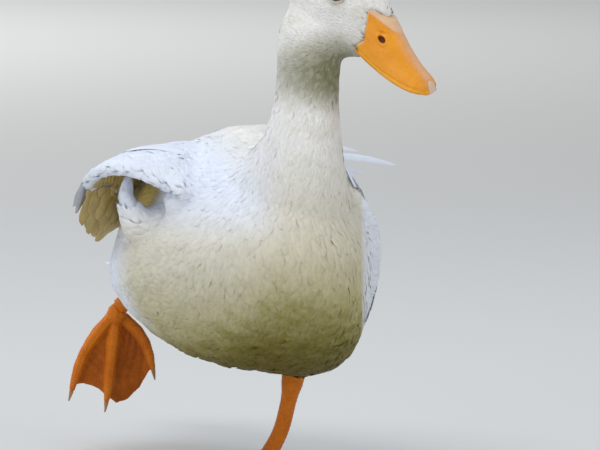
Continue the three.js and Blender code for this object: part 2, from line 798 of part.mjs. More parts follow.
// The origin is on the floor under the standing foot's middle toe.
const soleMiddle = vec(0, -34, 0).applyMatrix4(standingFrame);

// The lifted foot trails behind and hangs with its toes down.
const lifted = {
  shape: {
    spreadIn: 41,
    spreadOut: 23,
    curl: 14,
    bow: 7,
    sag: 4,
    lift: 0,
    hindDrop: 8,
    innerDip: -0.22,
    outerDip: 0.06,
  },
  joint: vec(-80, 138, 117),
  hang: 80,
  swing: -10,
  lean: 8,
};
const liftedFrame = new THREE.Matrix4()
  .makeTranslation(lifted.joint.x, lifted.joint.y, lifted.joint.z)
  .multiply(new THREE.Matrix4().makeRotationZ(rad(lifted.swing)))
  .multiply(new THREE.Matrix4().makeRotationY(rad(lifted.lean)))
  .multiply(new THREE.Matrix4().makeRotationX(rad(lifted.hang)));
const liftedLeg = new THREE.CatmullRomCurve3(
  [vec(2, -6, 6), vec(8, -14, 14), vec(16, -26, 20), vec(24, -42, 24), vec(30, -62, 26)].map((step) =>
    lifted.joint.clone().add(step),
  ),
);

// ---------------------------------------------------------------- assembly

const group = new THREE.Group();
const add = (name, made, finish) => group.add(meshOf(name, made, finish));

// Trunk, neck and head are modelled as one body and parted at the neck's root and at the nape.
const flesh = joined(trunkBody(), ...thighs(), flankTuft(), neckBody(), headBody());
const neckRoot = { point: vec(-18, -104, 258), normal: vec(0, -0.42, 1) };
const nape = { point: neckLine.getPointAt(0.8), normal: vec(0.2, -0.24, 1) };
const [aboveNape, belowNape] = part(flesh, nape.point, nape.normal);
const [neckPiece, trunkPiece] = part(belowNape, neckRoot.point, neckRoot.normal);
const legSockets = legBody(standingLeg, GAP).add(legBody(liftedLeg, GAP));
add("trunk", trunkPiece.subtract(legSockets), plumage);
add("neck", neckPiece, plumage);

const eyeBall = (side, radius) =>
  solid(
    new THREE.SphereGeometry(radius, 12, 7),
    headFrame.clone().multiply(new THREE.Matrix4().makeTranslation(side * EYE.side, -EYE.forward, EYE.up)),
  );
const eyeSockets = eyeBall(LEFT, EYE.radius + GAP * 2).add(eyeBall(RIGHT, EYE.radius + GAP * 2));
add("head", aboveNape.subtract(eyeSockets).subtract(bareFace()), plumage);
add("eye_left", eyeBall(LEFT, EYE.radius), eyeball);
add("eye_right", eyeBall(RIGHT, EYE.radius), eyeball);

// The bill's horn covers the face up to the feather line, and the nail at its end is a piece of
// its own.
const face = headBody(GAP * 4);
const nailColumn = (radius) =>
  solid(
    new THREE.CylinderGeometry(radius, radius, 30, 12),
    billFrame
      .clone()
      .multiply(new THREE.Matrix4().makeTranslation(0, NAIL.fromTip - BILL.length, 0))
      .multiply(new THREE.Matrix4().makeRotationX(Math.PI / 2)),
  );
const upper = largest(upperBill().add(headBody()).intersect(bareFace(GAP)));
const upperWithoutNail = upper.subtract(nailColumn(NAIL.radius + GAP));
add("bill_upper", nostrils().reduce((all, hole) => all.subtract(hole), upperWithoutNail), billHorn);
add("bill_nail", upper.intersect(nailColumn(NAIL.radius)), nailHorn);
add("bill_lower", lowerBill().subtract(face), billHorn);

// Wings are parted from their primaries by a thin cut across the trunk.
const cutPoint = vec(0, WING.cut, 0).applyMatrix4(carriage);
const cutNormal = vec(0, WING.cut + 1, 0).applyMatrix4(carriage).sub(cutPoint);
const clear = joined(trunkBody(GAP), neckBody(GAP));
const [tipLeft, armLeft] = part(wingBody(LEFT).subtract(clear), cutPoint, cutNormal);
const [tipRight, armRight] = part(wingBody(RIGHT).subtract(clear), cutPoint, cutNormal);
add("wing_left", joined(armLeft, ...standOut).subtract(clear), plumage);
add("wing_right", armRight, plumage);
add("primaries_left", tipLeft, plumage);
add("primaries_right", tipRight, plumage);
add("tail", tailBody().subtract(trunkBody(GAP * 3)), plumage);

for (const [name, side, { shape }, frame, line] of [
  ["left", LEFT, standing, standingFrame, standingLeg],
  ["right", RIGHT, lifted, liftedFrame, liftedLeg],
]) {
  const { sole, claws } = footPieces(side, shape);
  const floor = halfSpace(vec(0, 0, 0), vec(0, 0, 1));
  const onFloor = (made) => (side === LEFT ? made.intersect(floor) : made);
  add(`leg_${name}`, legBody(line), legSkin);
  add(`foot_${name}`, onFloor(placed(sole, frame)).subtract(legBody(line, GAP)), legSkin);
  for (const [toe, claw] of Object.entries(claws)) {
    add(`claw_${name}_${toe}`, onFloor(placed(claw, frame)), clawHorn);
  }
}

export default group;
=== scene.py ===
"""A life-size model of a white domestic duck, walking, for a museum's bird gallery.

The duck faces -Y, its left side is +X and up is +Z, in metres.
One skin carries the body. Contour feathers, coverts, quills and down are laid over it as meshes.
"""

import math

import bpy
import numpy as np
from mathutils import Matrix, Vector
from mathutils.bvhtree import BVHTree


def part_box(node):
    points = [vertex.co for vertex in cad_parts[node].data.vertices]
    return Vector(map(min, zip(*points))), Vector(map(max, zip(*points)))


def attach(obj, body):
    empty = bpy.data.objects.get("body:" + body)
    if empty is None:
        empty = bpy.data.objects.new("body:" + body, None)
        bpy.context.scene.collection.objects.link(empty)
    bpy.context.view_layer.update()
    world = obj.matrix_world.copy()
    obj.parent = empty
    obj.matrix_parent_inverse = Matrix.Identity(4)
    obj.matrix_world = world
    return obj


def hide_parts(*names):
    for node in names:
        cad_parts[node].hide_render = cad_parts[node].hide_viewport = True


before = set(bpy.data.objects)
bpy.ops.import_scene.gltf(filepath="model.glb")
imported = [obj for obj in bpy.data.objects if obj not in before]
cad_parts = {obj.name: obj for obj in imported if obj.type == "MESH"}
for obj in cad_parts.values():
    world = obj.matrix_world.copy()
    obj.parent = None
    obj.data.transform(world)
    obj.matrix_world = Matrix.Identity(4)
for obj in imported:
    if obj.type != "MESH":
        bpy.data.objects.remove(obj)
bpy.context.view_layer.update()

MM = 0.001
LEFT = 1
RIGHT = -1
BODY = "root"
BAKE_MAP = "OFBake"
PATCH = 0.003  # how wide one tuft is on the bake map

TURN = 6.28  # one whole turn, near enough for waves and barbs
SKIN_VOXEL = 1.8 * MM
BODY_COAT = 3.8 * MM  # how deep the plumage is over the trunk
NECK_COAT = 2.6 * MM
HEAD_COAT = 1.5 * MM

rng = np.random.default_rng(41)


# ---------------------------------------------------------------- small helpers


def deselect():
    bpy.ops.object.select_all(action="DESELECT")


def only(ob):
    deselect()
    ob.select_set(True)
    bpy.context.view_layer.objects.active = ob


def apply(ob, kind, **settings):
    """Adds one modifier to a piece and applies it."""
    only(ob)
    modifier = ob.modifiers.new(kind.title(), kind)
    for key, value in settings.items():
        setattr(modifier, key, value)
    bpy.ops.object.modifier_apply(modifier=modifier.name)


def read(items, key, width=1, kind=float):
    """One value of every vertex, face, edge or corner, as an array with a row for each."""
    flat = np.zeros(len(items) * width, kind)
    items.foreach_get(key, flat)
    return flat.reshape(-1, width) if width > 1 else flat


def coords(ob):
    return read(ob.data.vertices, "co", 3)


def set_coords(ob, points):
    ob.data.vertices.foreach_set("co", np.ascontiguousarray(points, np.float32).ravel())
    ob.data.update()


def vertex_normals(ob):
    return read(ob.data.vertex_normals, "vector", 3)


def edit(ob, operator, **settings):
    """Runs one edit-mode operator on the whole of a piece."""
    only(ob)
    bpy.ops.object.mode_set(mode="EDIT")
    bpy.ops.mesh.select_all(action="SELECT")
    operator(**settings)
    bpy.ops.object.mode_set(mode="OBJECT")


def joined(name, pieces):
    """The first piece, with all the others joined to it."""
    only(pieces[0])
    for piece in pieces:
        piece.select_set(True)
    if len(pieces) > 1:
        bpy.ops.object.join()
    pieces[0].name = name
    pieces[0].data.name = name
    return pieces[0]


def unit(v):
    return v / np.maximum(np.linalg.norm(v, axis=-1, keepdims=True), 1e-12)


def smoothstep(x, low, high):
    t = np.clip((np.asarray(x, float) - low) / (high - low), 0, 1)
    return t * t * (3 - 2 * t)


def bell(x, width):
    return np.exp(-((x / width) ** 2))


def mix(a, b, t):
    return a + (b - a) * t


def across(v, normal):
    """The part of v that lies in the surface with that normal, as a unit vector."""
    return unit(v - normal * np.sum(v * normal, -1, keepdims=True))


def bvh_of(ob):
    return BVHTree.FromPolygons(
        [v.co for v in ob.data.vertices], [p.vertices for p in ob.data.polygons]
    )


def middle(node):
    low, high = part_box(node)
    return (low + high) / 2


def point_attribute(ob, name, values):
    attribute = ob.data.attributes.new(name, "FLOAT", "POINT")
    attribute.data.foreach_set("value", np.ascontiguousarray(values, np.float32).ravel())


def cad_copy(name, *nodes):
    """One merged mesh from copies of CAD nodes."""
    copies = []
    for node in nodes:
        ob = bpy.data.objects.new(node + "_copy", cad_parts[node].data.copy())
        bpy.context.scene.collection.objects.link(ob)
        copies.append(ob)
    ob = joined(name, copies)
    ob.data.materials.clear()
    edit(ob, bpy.ops.mesh.remove_doubles, threshold=1e-6)
    return ob


def voxel_remesh(ob, size):
    apply(ob, "REMESH", mode="VOXEL", voxel_size=size, use_smooth_shade=True)


def mesh_from(name, points, faces):
    """A smooth mesh object from an (n, 3) array and lists of same-sized faces."""
    mesh = bpy.data.meshes.new(name)
    mesh.vertices.add(len(points))
    mesh.vertices.foreach_set("co", np.ascontiguousarray(points, np.float32).ravel())
    loops = np.concatenate([np.asarray(f, np.int32).ravel() for f in faces])
    sizes = np.concatenate([np.full(len(f), np.shape(f)[1], np.int32) for f in faces])
    mesh.loops.add(len(loops))
    mesh.loops.foreach_set("vertex_index", loops)
    mesh.polygons.add(len(sizes))
    mesh.polygons.foreach_set("loop_start", np.concatenate([[0], np.cumsum(sizes)[:-1]]))
    mesh.polygons.foreach_set("loop_total", sizes)
    mesh.polygons.foreach_set("use_smooth", np.full(len(sizes), True))
    mesh.update(calc_edges=True)
    ob = bpy.data.objects.new(name, mesh)
    bpy.context.scene.collection.objects.link(ob)
    return ob


def finish_piece(ob, slot, *nodes):
    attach(ob, BODY)
    if nodes:
        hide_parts(*nodes)


# ---------------------------------------------------------------- the head's own frame

HEAD_EYE_FORWARD = 18.0 * MM
HEAD_EYE_UP = 9.5 * MM
NAIL_BELOW_EYES = math.radians(23.3)  # the line from the eyes to the nail, below the head's own

eye_left = np.array(middle("eye_left"))
eye_right = np.array(middle("eye_right"))
eyes_middle = (eye_left + eye_right) / 2
head_side = unit(eye_left - eye_right)
to_nail = across(unit(np.array(middle("bill_nail")) - eyes_middle), head_side)
nail_up = np.cross(head_side, to_nail)
nail_up *= np.sign(nail_up[2])
head_forward = unit(to_nail * math.cos(NAIL_BELOW_EYES) + nail_up * math.sin(NAIL_BELOW_EYES))
head_up = unit(nail_up * math.cos(NAIL_BELOW_EYES) - to_nail * math.sin(NAIL_BELOW_EYES))
head_middle = eyes_middle - head_forward * HEAD_EYE_FORWARD - head_up * HEAD_EYE_UP


def in_head(points):
    """Points as (forward, left, up) from the middle of the head, in millimetres."""
    d = (points - head_middle) / MM
    return d @ head_forward, d @ head_side, d @ head_up


def at_head(forward, left, up):
    """The place that lies so far forward, left and up from the middle of the head, in millimetres."""
    return head_middle + (head_forward * forward + head_side * left + head_up * up) * MM


def remodelled(name, node, voxel, smoothing, swell=0.0):
    """A CAD node's shape as an even mesh, with its facets taken out."""
    ob = cad_copy(name, node)
    voxel_remesh(ob, voxel)
    apply(ob, "SMOOTH", factor=0.5, iterations=smoothing)
    set_coords(ob, coords(ob) + vertex_normals(ob) * swell)
    return ob


# The feather line, from the gape up the side to its apex and then down to the forehead's V.
GAPE = (42.5, 14.2, -23.6)
LINE_LOW = (47.3, -17.3)  # forward, up
LINE_APEX = (42.0, 8.8)
LINE_V = (58.5, 4.6)


def before_line(forward, up):
    """How far points are in front of the feather line, in millimetres, on the bill's side of it."""
    side = np.interp(up, [GAPE[2], LINE_LOW[1], LINE_APEX[1]], [GAPE[0], LINE_LOW[0], LINE_APEX[0]])
    over = mix(LINE_APEX[1], LINE_V[1], (forward - LINE_APEX[0]) / (LINE_V[0] - LINE_APEX[0]))
    return np.minimum(forward - side, over - up)


def bill_shape():
    """The upper bill as an even mesh, most smoothed where the roof runs out over the face."""
    ob = remodelled("bill_top", "bill_upper", 0.6 * MM, 8, 0.25 * MM)
    forward, _, up = in_head(coords(ob))
    weight = smoothstep(before_line(forward, up), 0.6, 3.5) * smoothstep(forward, 76, 66)
    root = ob.vertex_groups.new(name="root")
    levels = 8
    for level in range(1, levels + 1):
        spots = np.nonzero(np.round(weight * levels) == level)[0]
        root.add(spots.tolist(), level / levels, "REPLACE")
    apply(ob, "SMOOTH", factor=0.5, iterations=50, vertex_group="root")
    return ob


bill_top = bill_shape()
bill_tree = bvh_of(bill_top)


# ---------------------------------------------------------------- the wings' surfaces

STATIONS = 44  # along a wing
SPOKES = 26  # across it
AXIS_FRONT, AXIS_REAR = 0.196, 0.150  # how high the trunk's axis runs, at its front and its rear
SWEEP = np.radians(np.arange(-20, 150, 2.0))  # the ways round the axis in which a wing is looked for
REACH = 0.3
FEWEST_HITS = 5  # for a station to count as wing
QUILL_THICK = 2.4 * MM
LEAST_THICK = 5 * MM  # between the outer feathers and the lining
THICKEST = 12 * MM  # of what counts as the wing itself, where it joins the flesh under it


def wing_surface(side):
    """A wing's shell, as its reach from the trunk's axis on a grid: along, then root to free edge."""
    name = "left" if side == LEFT else "right"
    shell = cad_copy("wing_probe", f"wing_{name}", f"primaries_{name}")
    tree = bvh_of(shell)
    bpy.data.objects.remove(shell)
    arm_low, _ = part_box(f"wing_{name}")
    _, tip_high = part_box(f"primaries_{name}")
    trunk_low, trunk_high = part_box("trunk")
    centre_x = (trunk_low.x + trunk_high.x) / 2
    ys = np.linspace(arm_low.y + 5 * MM, tip_high.y - 5 * MM, STATIONS)
    rows = []
    for y in ys:
        share = (y - trunk_low.y) / (trunk_high.y - trunk_low.y)
        centre = Vector((centre_x, y, mix(AXIS_FRONT, AXIS_REAR, share)))
        hits = []
        for angle in SWEEP:
            ray = Vector((side * math.sin(angle), 0, math.cos(angle)))
            first = tree.ray_cast(centre, ray, REACH)
            if first[0] is None:
                continue
            second = tree.ray_cast(first[0] + ray * 1e-5, ray, REACH)
            near = first[3]
            far = near + (second[3] if second[0] is not None else QUILL_THICK)
            hits.append((angle, near, min(far, near + THICKEST)))
        if len(hits) >= FEWEST_HITS:
            rows.append((centre, np.array(hits)))
    centres = np.array([centre for centre, _ in rows])
    grid = np.zeros((len(rows), SPOKES + 1, 3))  # angle, near, far
    for line, (_, hits) in zip(grid, rows):
        line[:, 0] = np.linspace(hits[0, 0], hits[-1, 0], SPOKES + 1)
        for column in (1, 2):
            line[:, column] = np.interp(line[:, 0], hits[:, 0], hits[:, column])
    for _ in range(6):  # takes the facets out
        smooth = grid.copy()
        smooth[1:-1] = (grid[:-2] + 2 * grid[1:-1] + grid[2:]) / 4
        grid = smooth
        smooth = grid.copy()
        smooth[:, 1:-1, 1:] = (grid[:, :-2, 1:] + 2 * grid[:, 1:-1, 1:] + grid[:, 2:, 1:]) / 4
        grid = smooth
    return {"side": side, "centres": centres, "grid": grid}


def on_wing(wing, s, v, height, outer=True):
    """Points at share s along and v across a wing, that far above its outer face or under its inner one.

    Share s runs from the wing's front to its rear, and v from its root to its free edge."""
    grid = wing["grid"]
    rows = len(grid) - 1
    s = np.asarray(s, float) * rows
    v = np.asarray(v, float) * SPOKES
    i = np.clip(s.astype(int), 0, rows - 1)
    j = np.clip(v.astype(int), 0, SPOKES - 1)
    a = (s - i)[..., None]
    b = (v - j)[..., None]
    cell = (
        grid[i, j] * (1 - a) * (1 - b)
        + grid[i + 1, j] * a * (1 - b)
        + grid[i, j + 1] * (1 - a) * b
        + grid[i + 1, j + 1] * a * b
    )
    centre = wing["centres"][i] * (1 - a) + wing["centres"][i + 1] * a
    angle, near, far = cell[..., 0], cell[..., 1], cell[..., 2]
    reach = (far + height) if outer else (np.minimum(near, far - LEAST_THICK) - height)
    ray = np.stack([wing["side"] * np.sin(angle), np.zeros_like(angle), np.cos(angle)], -1)
    return centre + ray * reach[..., None]


def wing_normal(wing, s, v, outer=True):
    """The ways out of a wing's outer face, or of its inner one."""
    step = 0.02
    along = on_wing(wing, s + step, v, 0.0, outer) - on_wing(wing, s - step, v, 0.0, outer)
    over = on_wing(wing, s, v + step, 0.0, outer) - on_wing(wing, s, v - step, 0.0, outer)
    normal = unit(np.cross(along, over)) * -wing["side"]
    return normal if outer else -normal


wing_left = wing_surface(LEFT)
wing_right = wing_surface(RIGHT)


# ---------------------------------------------------------------- the skin


SHOULDER_SINK = 9.0 * MM  # how far the lifted wing's front is sunk in the shoulder
RIDGE_SINK = 7.0 * MM  # and its root behind that
FOLDED_SINK = 3.0 * MM
FLESH_LONG = 0.62  # how far along a wing its flesh goes
FLESH_DEEP = 18.0 * MM  # how far the flesh reaches into the body
QUILL_SPACE = 2.2 * MM  # between the flesh and the outer feathers
ROOT_SINK = 6.0 * MM
LIFTED_THICK, RIM_THICK = 2.8, 3.4  # the lifted wing's flesh, and what its rim has on top of that


def tucked(s, v):
    """How far the lifted wing is sunk in the shoulder, 1 at its front beside the body."""
    return smoothstep(s, 0.30, 0.0) * smoothstep(v, 0.58, 0.2)


def sunk(wing, s, v):
    """How far the front of a wing lies under its plain outer face, where it runs into the shoulder."""
    if wing["side"] == RIGHT:
        ridge = smoothstep(v, 0.30, 0.02) * smoothstep(s, 0.06, 0.2) * smoothstep(s, 1.5, 0.8)
        return SHOULDER_SINK * tucked(s, v) + RIDGE_SINK * ridge * (1 - tucked(s, v))
    return FOLDED_SINK * smoothstep(s, 0.12, -0.02)


def rim(s, v):
    """1 along the rounded front rim of the lifted wing, where it hangs free."""
    return smoothstep(v, 0.70, 0.92) * smoothstep(s, 0.44, 0.30)


def wing_flesh(wing):
    """The fleshy part of a wing, from inside the body to where only quills are left."""
    rows, columns = 30, 16
    lifted = wing["side"] == RIGHT
    s, share = np.meshgrid(np.linspace(0, FLESH_LONG, rows), np.linspace(0, 1, columns), indexing="ij")
    last = mix(0.985, 0.74, smoothstep(s, 0.30, 0.46)) if lifted else 0.95
    v = mix(-0.06, last, share)
    height = -QUILL_SPACE - sunk(wing, s, v) - ROOT_SINK * smoothstep(v, 0.12, -0.02)
    deep = on_wing(wing, s, v, -FLESH_DEEP)
    if lifted:
        height = height + 0.7 * MM * rim(s, v)
        shell = on_wing(wing, s, v, height - (LIFTED_THICK + RIM_THICK * rim(s, v)) * MM)
        free = smoothstep(v, 0.2, 0.45) * smoothstep(s, -0.02, 0.04)
        free = np.maximum(free, smoothstep(v, 0.0, 0.3) * smoothstep(s, 0.10, 0.26))
        deep = mix(deep, shell, free[..., None])
    outer = on_wing(wing, s, v, height)
    points = np.concatenate([outer.reshape(-1, 3), deep.reshape(-1, 3)])
    index = np.arange(rows * columns).reshape(rows, columns)
    lower = index + rows * columns
    top = [index[:-1, :-1], index[:-1, 1:], index[1:, 1:], index[1:, :-1]]
    bottom = [lower[:-1, :-1], lower[1:, :-1], lower[1:, 1:], lower[:-1, 1:]]
    around = np.concatenate([index[:, 0], index[-1, 1:], index[-2::-1, -1], index[0, -2:0:-1]])
    below = around + rows * columns
    walls = np.stack([around, np.roll(around, -1), np.roll(below, -1), below], -1)
    faces = [np.stack([q.ravel() for q in quads], -1) for quads in (top, bottom)]
    ob = mesh_from("wing_flesh", points, [*faces, walls])
    edit(ob, bpy.ops.mesh.normals_make_consistent, inside=False)
    return ob


def place_on_wing(wing, points):
    """The shares along and across a wing, the other way round from on_wing."""
    centres, grid = wing["centres"], wing["grid"]
    s = (points[:, 1] - centres[0, 1]) / (centres[-1, 1] - centres[0, 1])
    row = np.clip(np.round(s * (len(grid) - 1)).astype(int), 0, len(grid) - 1)
    angle = np.arctan2(wing["side"] * (points[:, 0] - centres[row, 0]), points[:, 2] - centres[row, 2])
    v = (angle - grid[row, 0, 0]) / (grid[row, -1, 0] - grid[row, 0, 0])
    return s, v


def ball(segments, rings, radius=1):
    """A new sphere about the origin."""
    deselect()
    bpy.ops.mesh.primitive_uv_sphere_add(
        segments=segments, ring_count=rings, radius=radius, location=(0, 0, 0)
    )
    return bpy.context.active_object


def pad(place, size):
    """A swell of flesh, with its three half widths in millimetres."""
    ob = ball(24, 16)
    set_coords(ob, coords(ob) * np.array(size) * MM + np.array(place))
    return ob


def flank_pads():
    """The swells of the flank that close the lifted wing's hollow in front and below."""
    low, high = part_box("wing_right")
    root = high.x - 54 * MM
    return [
        pad((root, low.y + 23 * MM, low.z + 36 * MM), (17, 16, 15)),
        pad((root, low.y + 37 * MM, low.z + 54 * MM), (15, 18, 10)),
        pad(tuft_tip + np.array([22, -8, -38]) * MM, (19, 18, 14)),
        pad(tuft_tip + np.array([33, -20, -36]) * MM, (18, 18, 15)),
    ]


def tail_flesh():
    """The root of the tail, cut off where only quills are left."""
    ob = cad_copy("tail_flesh", "tail")
    low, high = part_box("tail")
    place = (0, mix(low.y, high.y, 0.4), 0)
    edit(ob, bpy.ops.mesh.bisect, plane_co=place, plane_no=(0, 1, 0), clear_outer=True, use_fill=True)
    return ob


def blended_depth(head, neck, trunk):
    """The depth of plumage, from how far points are from the head, the neck and the trunk."""
    weights = np.stack([bell(d, 14 * MM) for d in (head, neck, trunk)]) + 1e-9
    depths = np.array([HEAD_COAT, NECK_COAT, BODY_COAT])[:, None]
    return np.sum(weights * depths, 0) / np.sum(weights, 0)


def coat_depth(points, trees):
    """How deep the plumage is over each point of the body."""
    spots = [Vector(p) for p in points]

    def near(name):
        return np.array([trees[name].find_nearest(p)[3] for p in spots])

    head, neck, trunk = near("head"), near("neck"), near("trunk")
    wings = np.minimum(near("wing_left"), near("wing_right"))
    bill = np.array([bill_tree.find_nearest(p)[3] for p in spots])
    depth = blended_depth(head, neck, trunk)
    depth *= smoothstep(np.minimum(head, np.minimum(neck, trunk)), 9 * MM, 3 * MM) * 0.96 + 0.04
    depth *= smoothstep(wings, 1 * MM, 7 * MM) * 0.9 + 0.1
    return depth * smoothstep(bill, 1.5 * MM, 10 * MM) - 0.5 * MM * smoothstep(bill, 5 * MM, 2 * MM)


def flank_tuft():
    """Where the tuft under the lifted wing ends: the top of the trunk's outermost part."""
    points = coords(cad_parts["trunk"])
    outer = points[points[:, 0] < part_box("trunk")[0].x + 9 * MM]
    return outer[np.argmax(outer[:, 2])]


tuft_tip = flank_tuft()
tuft_root = tuft_tip + np.array([13, -4, -53]) * MM
FLAME_LONG = 53  # millimetres from its tip down to its root
FLAME_DEEP = 1.4  # how deep it is from front to back, for its width
# Half widths in millimetres, at places that far below the tip.
FLAME = ((0, 0), (1, 1.0), (4, 1.5), (11, 3.0), (22, 6.0), (31, 9.5), (45, 12), (50, 9), (FLAME_LONG, 0))


def flame_axis(below):
    """The middle of the flank's flame, and its half width, at places that far below its tip."""
    d = below / MM
    aside = 13 * (d / FLAME_LONG) ** 2 - 4 * np.sin(math.pi * np.clip(d / 30, 0, 1)) - 1.0
    line = tuft_tip + np.stack([aside, -4 * d / FLAME_LONG, -d], -1) * MM
    return line, np.interp(d, *zip(*FLAME)) * MM


def flank_flame():
    """The core of the flame of plumage that stands up under the lifted wing."""
    ob = ball(24, 36)
    points = coords(ob)
    line, wide = flame_axis((1 - points[:, 2]) / 2 * FLAME_LONG * MM)
    around = np.hypot(points[:, 0], points[:, 1]) + 1e-9
    ring = points * np.array([1, FLAME_DEEP, 0]) / around[:, None]
    set_coords(ob, line + ring * wide[:, None])
    return ob


def flame_share(points):
    """1 on the flame, fading out where it runs into the flank."""
    below = tuft_tip[2] - points[:, 2]
    line, wide = flame_axis(below)
    away = np.hypot(points[:, 0] - line[:, 0], (points[:, 1] - line[:, 1]) / FLAME_DEEP) - wide
    return smoothstep(away, 9 * MM, 2 * MM) * smoothstep(below, 46 * MM, 30 * MM)


def fit_to_bill(flesh, trees):
    """Brings the skin beside the bill back to the head's own sharp feather line."""
    points = coords(flesh)
    for n, p in enumerate(points):
        spot = Vector(p)
        gap = bill_tree.find_nearest(spot, 14 * MM)[3]
        if gap is None:
            continue
        hit, normal, _, _ = trees["head"].find_nearest(spot)
        wanted = hit - normal * 0.9 * MM
        points[n] = np.array(spot.lerp(wanted, float(smoothstep(gap, 12 * MM, 5 * MM))))
    set_coords(flesh, points)


TUFT_WIDE = 22 * MM
TUFT_SHARE = 0.92  # how much of the plain tuft is pressed away


def level_tuft(flesh):
    """Presses the trunk's own plain tuft down into the flank, to make room for the flame."""
    points = coords(flesh)
    rise = points[:, 2] - (tuft_root[2] + 4 * MM)
    aside = np.hypot((points[:, 0] - tuft_root[0] + 4 * MM), (points[:, 1] - tuft_root[1]) * 0.7)
    points[:, 2] -= np.where(aside < TUFT_WIDE, np.maximum(rise, 0) * TUFT_SHARE, 0)
    set_coords(flesh, points)


def build_skin():
    """The body as one surface, under the plumage by the depth that the plumage has there."""
    flesh = cad_copy("skin", "trunk", "neck", "head")
    level_tuft(flesh)
    parts = [flesh, tail_flesh(), wing_flesh(wing_left), wing_flesh(wing_right), *flank_pads()]
    joined("skin", parts)
    voxel_remesh(flesh, SKIN_VOXEL)
    apply(flesh, "SMOOTH", factor=0.5, iterations=14)  # takes the facets out
    trees = {
        name: bvh_of(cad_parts[name])
        for name in ("head", "neck", "trunk", "wing_left", "wing_right")
    }
    points = coords(flesh)
    depth = coat_depth(points, trees)
    set_coords(flesh, points - vertex_normals(flesh) * depth[:, None])
    apply(flesh, "SMOOTH", factor=0.5, iterations=2)
    joined("skin", [flesh, flank_flame()])
    voxel_remesh(flesh, SKIN_VOXEL)
    apply(flesh, "SMOOTH", factor=0.5, iterations=3)
    from_root = np.linalg.norm(coords(flesh) - tuft_root, axis=1)
    scar = flesh.vertex_groups.new(name="scar")  # where the flame runs out into the flank
    scar.add(np.nonzero(from_root < 31 * MM)[0].tolist(), 1.0, "REPLACE")
    apply(flesh, "SMOOTH", factor=0.5, iterations=60, vertex_group="scar")
    fit_to_bill(flesh, trees)
    return flesh


skin = build_skin()

# ---------------------------------------------------------------- feathers


def unwrap_skin():
    """Lays the skin out flat, as the map that every tuft's root is placed on."""
    skin.data.uv_layers.new(name=BAKE_MAP)
    edit(skin, bpy.ops.uv.smart_project, angle_limit=math.radians(60), island_margin=0.002)


unwrap_skin()

skin_tree = bvh_of(skin)
face_corners = read(skin.data.polygons, "loop_start", kind=np.int32)
face_middles = read(skin.data.polygons, "center", 3)
face_normals = read(skin.data.polygons, "normal", 3)
face_areas = read(skin.data.polygons, "area")
corner_uvs = read(skin.data.uv_layers[BAKE_MAP].data, "uv", 2)
part_trees = {
    name: bvh_of(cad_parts[name])
    for name in ("head", "neck", "trunk", "tail", "bill_lower", "wing_left", "wing_right")
}


def distances(name, points):
    """How far points are from a named part."""
    tree = part_trees[name]
    return np.array([tree.find_nearest(Vector(p))[3] for p in points])


def root_uvs(points):
    """Where each root lies on the skin's own map."""
    faces = [skin_tree.find_nearest(Vector(p))[2] for p in points]
    return corner_uvs[face_corners[faces]]


def sizes_at(size, points):
    """A size at each point, from a function of the points or a plain number of millimetres."""
    return size(points) if callable(size) else np.full(len(points), size * MM)


CELLS_AROUND = [(x, y, z) for x in (-1, 0, 1) for y in (-1, 0, 1) for z in (-1, 0, 1)]


def is_crowded(p, gap, key, taken):
    """Whether a root closer than the gap has been taken, in the cell with that key or next to it."""
    for dx, dy, dz in CELLS_AROUND:
        for q in taken.get((key[0] + dx, key[1] + dy, key[2] + dz), ()):
            if (p[0] - q[0]) ** 2 + (p[1] - q[1]) ** 2 + (p[2] - q[2]) ** 2 < gap * gap:
                return True
    return False


def scatter(wanted, spacing):
    """Roots spread over the skin faces that are wanted, no closer than their spacing."""
    faces = np.nonzero(wanted)[0]
    space = sizes_at(spacing, face_middles[faces])
    share = face_areas[faces] / space**2
    tries = 8  # for each root that there is room for
    picks = rng.choice(len(faces), int(share.sum() * tries), p=share / share.sum())
    points = face_middles[faces][picks]
    step = rng.normal(0, 0.6 * SKIN_VOXEL, points.shape)
    normals = face_normals[faces][picks]
    points = points + step - normals * np.sum(step * normals, -1, keepdims=True)
    gaps = space[picks]
    cell = gaps.max()
    taken = {}
    kept = []
    for n, (p, gap) in enumerate(zip(points.tolist(), gaps.tolist())):
        key = (int(p[0] // cell), int(p[1] // cell), int(p[2] // cell))
        if not is_crowded(p, gap, key, taken):
            taken.setdefault(key, []).append(p)
            kept.append(n)
    return points[kept], normals[kept]


def lay_of_feathers(points, normals):
    """The way the plumage lies: back from the bill, down the neck, then back along the body."""
    forward, _, _ = in_head(points)
    nape = smoothstep(-forward, -2, 24)[:, None]
    on_head = unit(-head_forward * (1 - 0.75 * nape) + np.array([0, 0.1, -1.0]) * nape)
    down = np.array([-0.12, 0.12, -1.0])
    breast = smoothstep(-points[:, 1], 40 * MM, 140 * MM) * smoothstep(points[:, 2], 0.09, 0.17)
    back = np.stack([0 * breast, 1 - 0.75 * breast, -0.2 - 1.1 * breast], -1)
    parts = [distances(name, points) for name in ("head", "neck", "trunk")]
    weights = np.stack([bell(d, 16 * MM) for d in parts], -1) + 1e-9
    weights /= weights.sum(-1, keepdims=True)
    lay = on_head * weights[:, :1] + down * weights[:, 1:2] + unit(back) * weights[:, 2:]
    to_tip = unit(tuft_tip + np.array([0, 0, 8 * MM]) - points)
    lay = mix(lay, to_tip, flame_share(points)[:, None])
    return across(lay, normals)


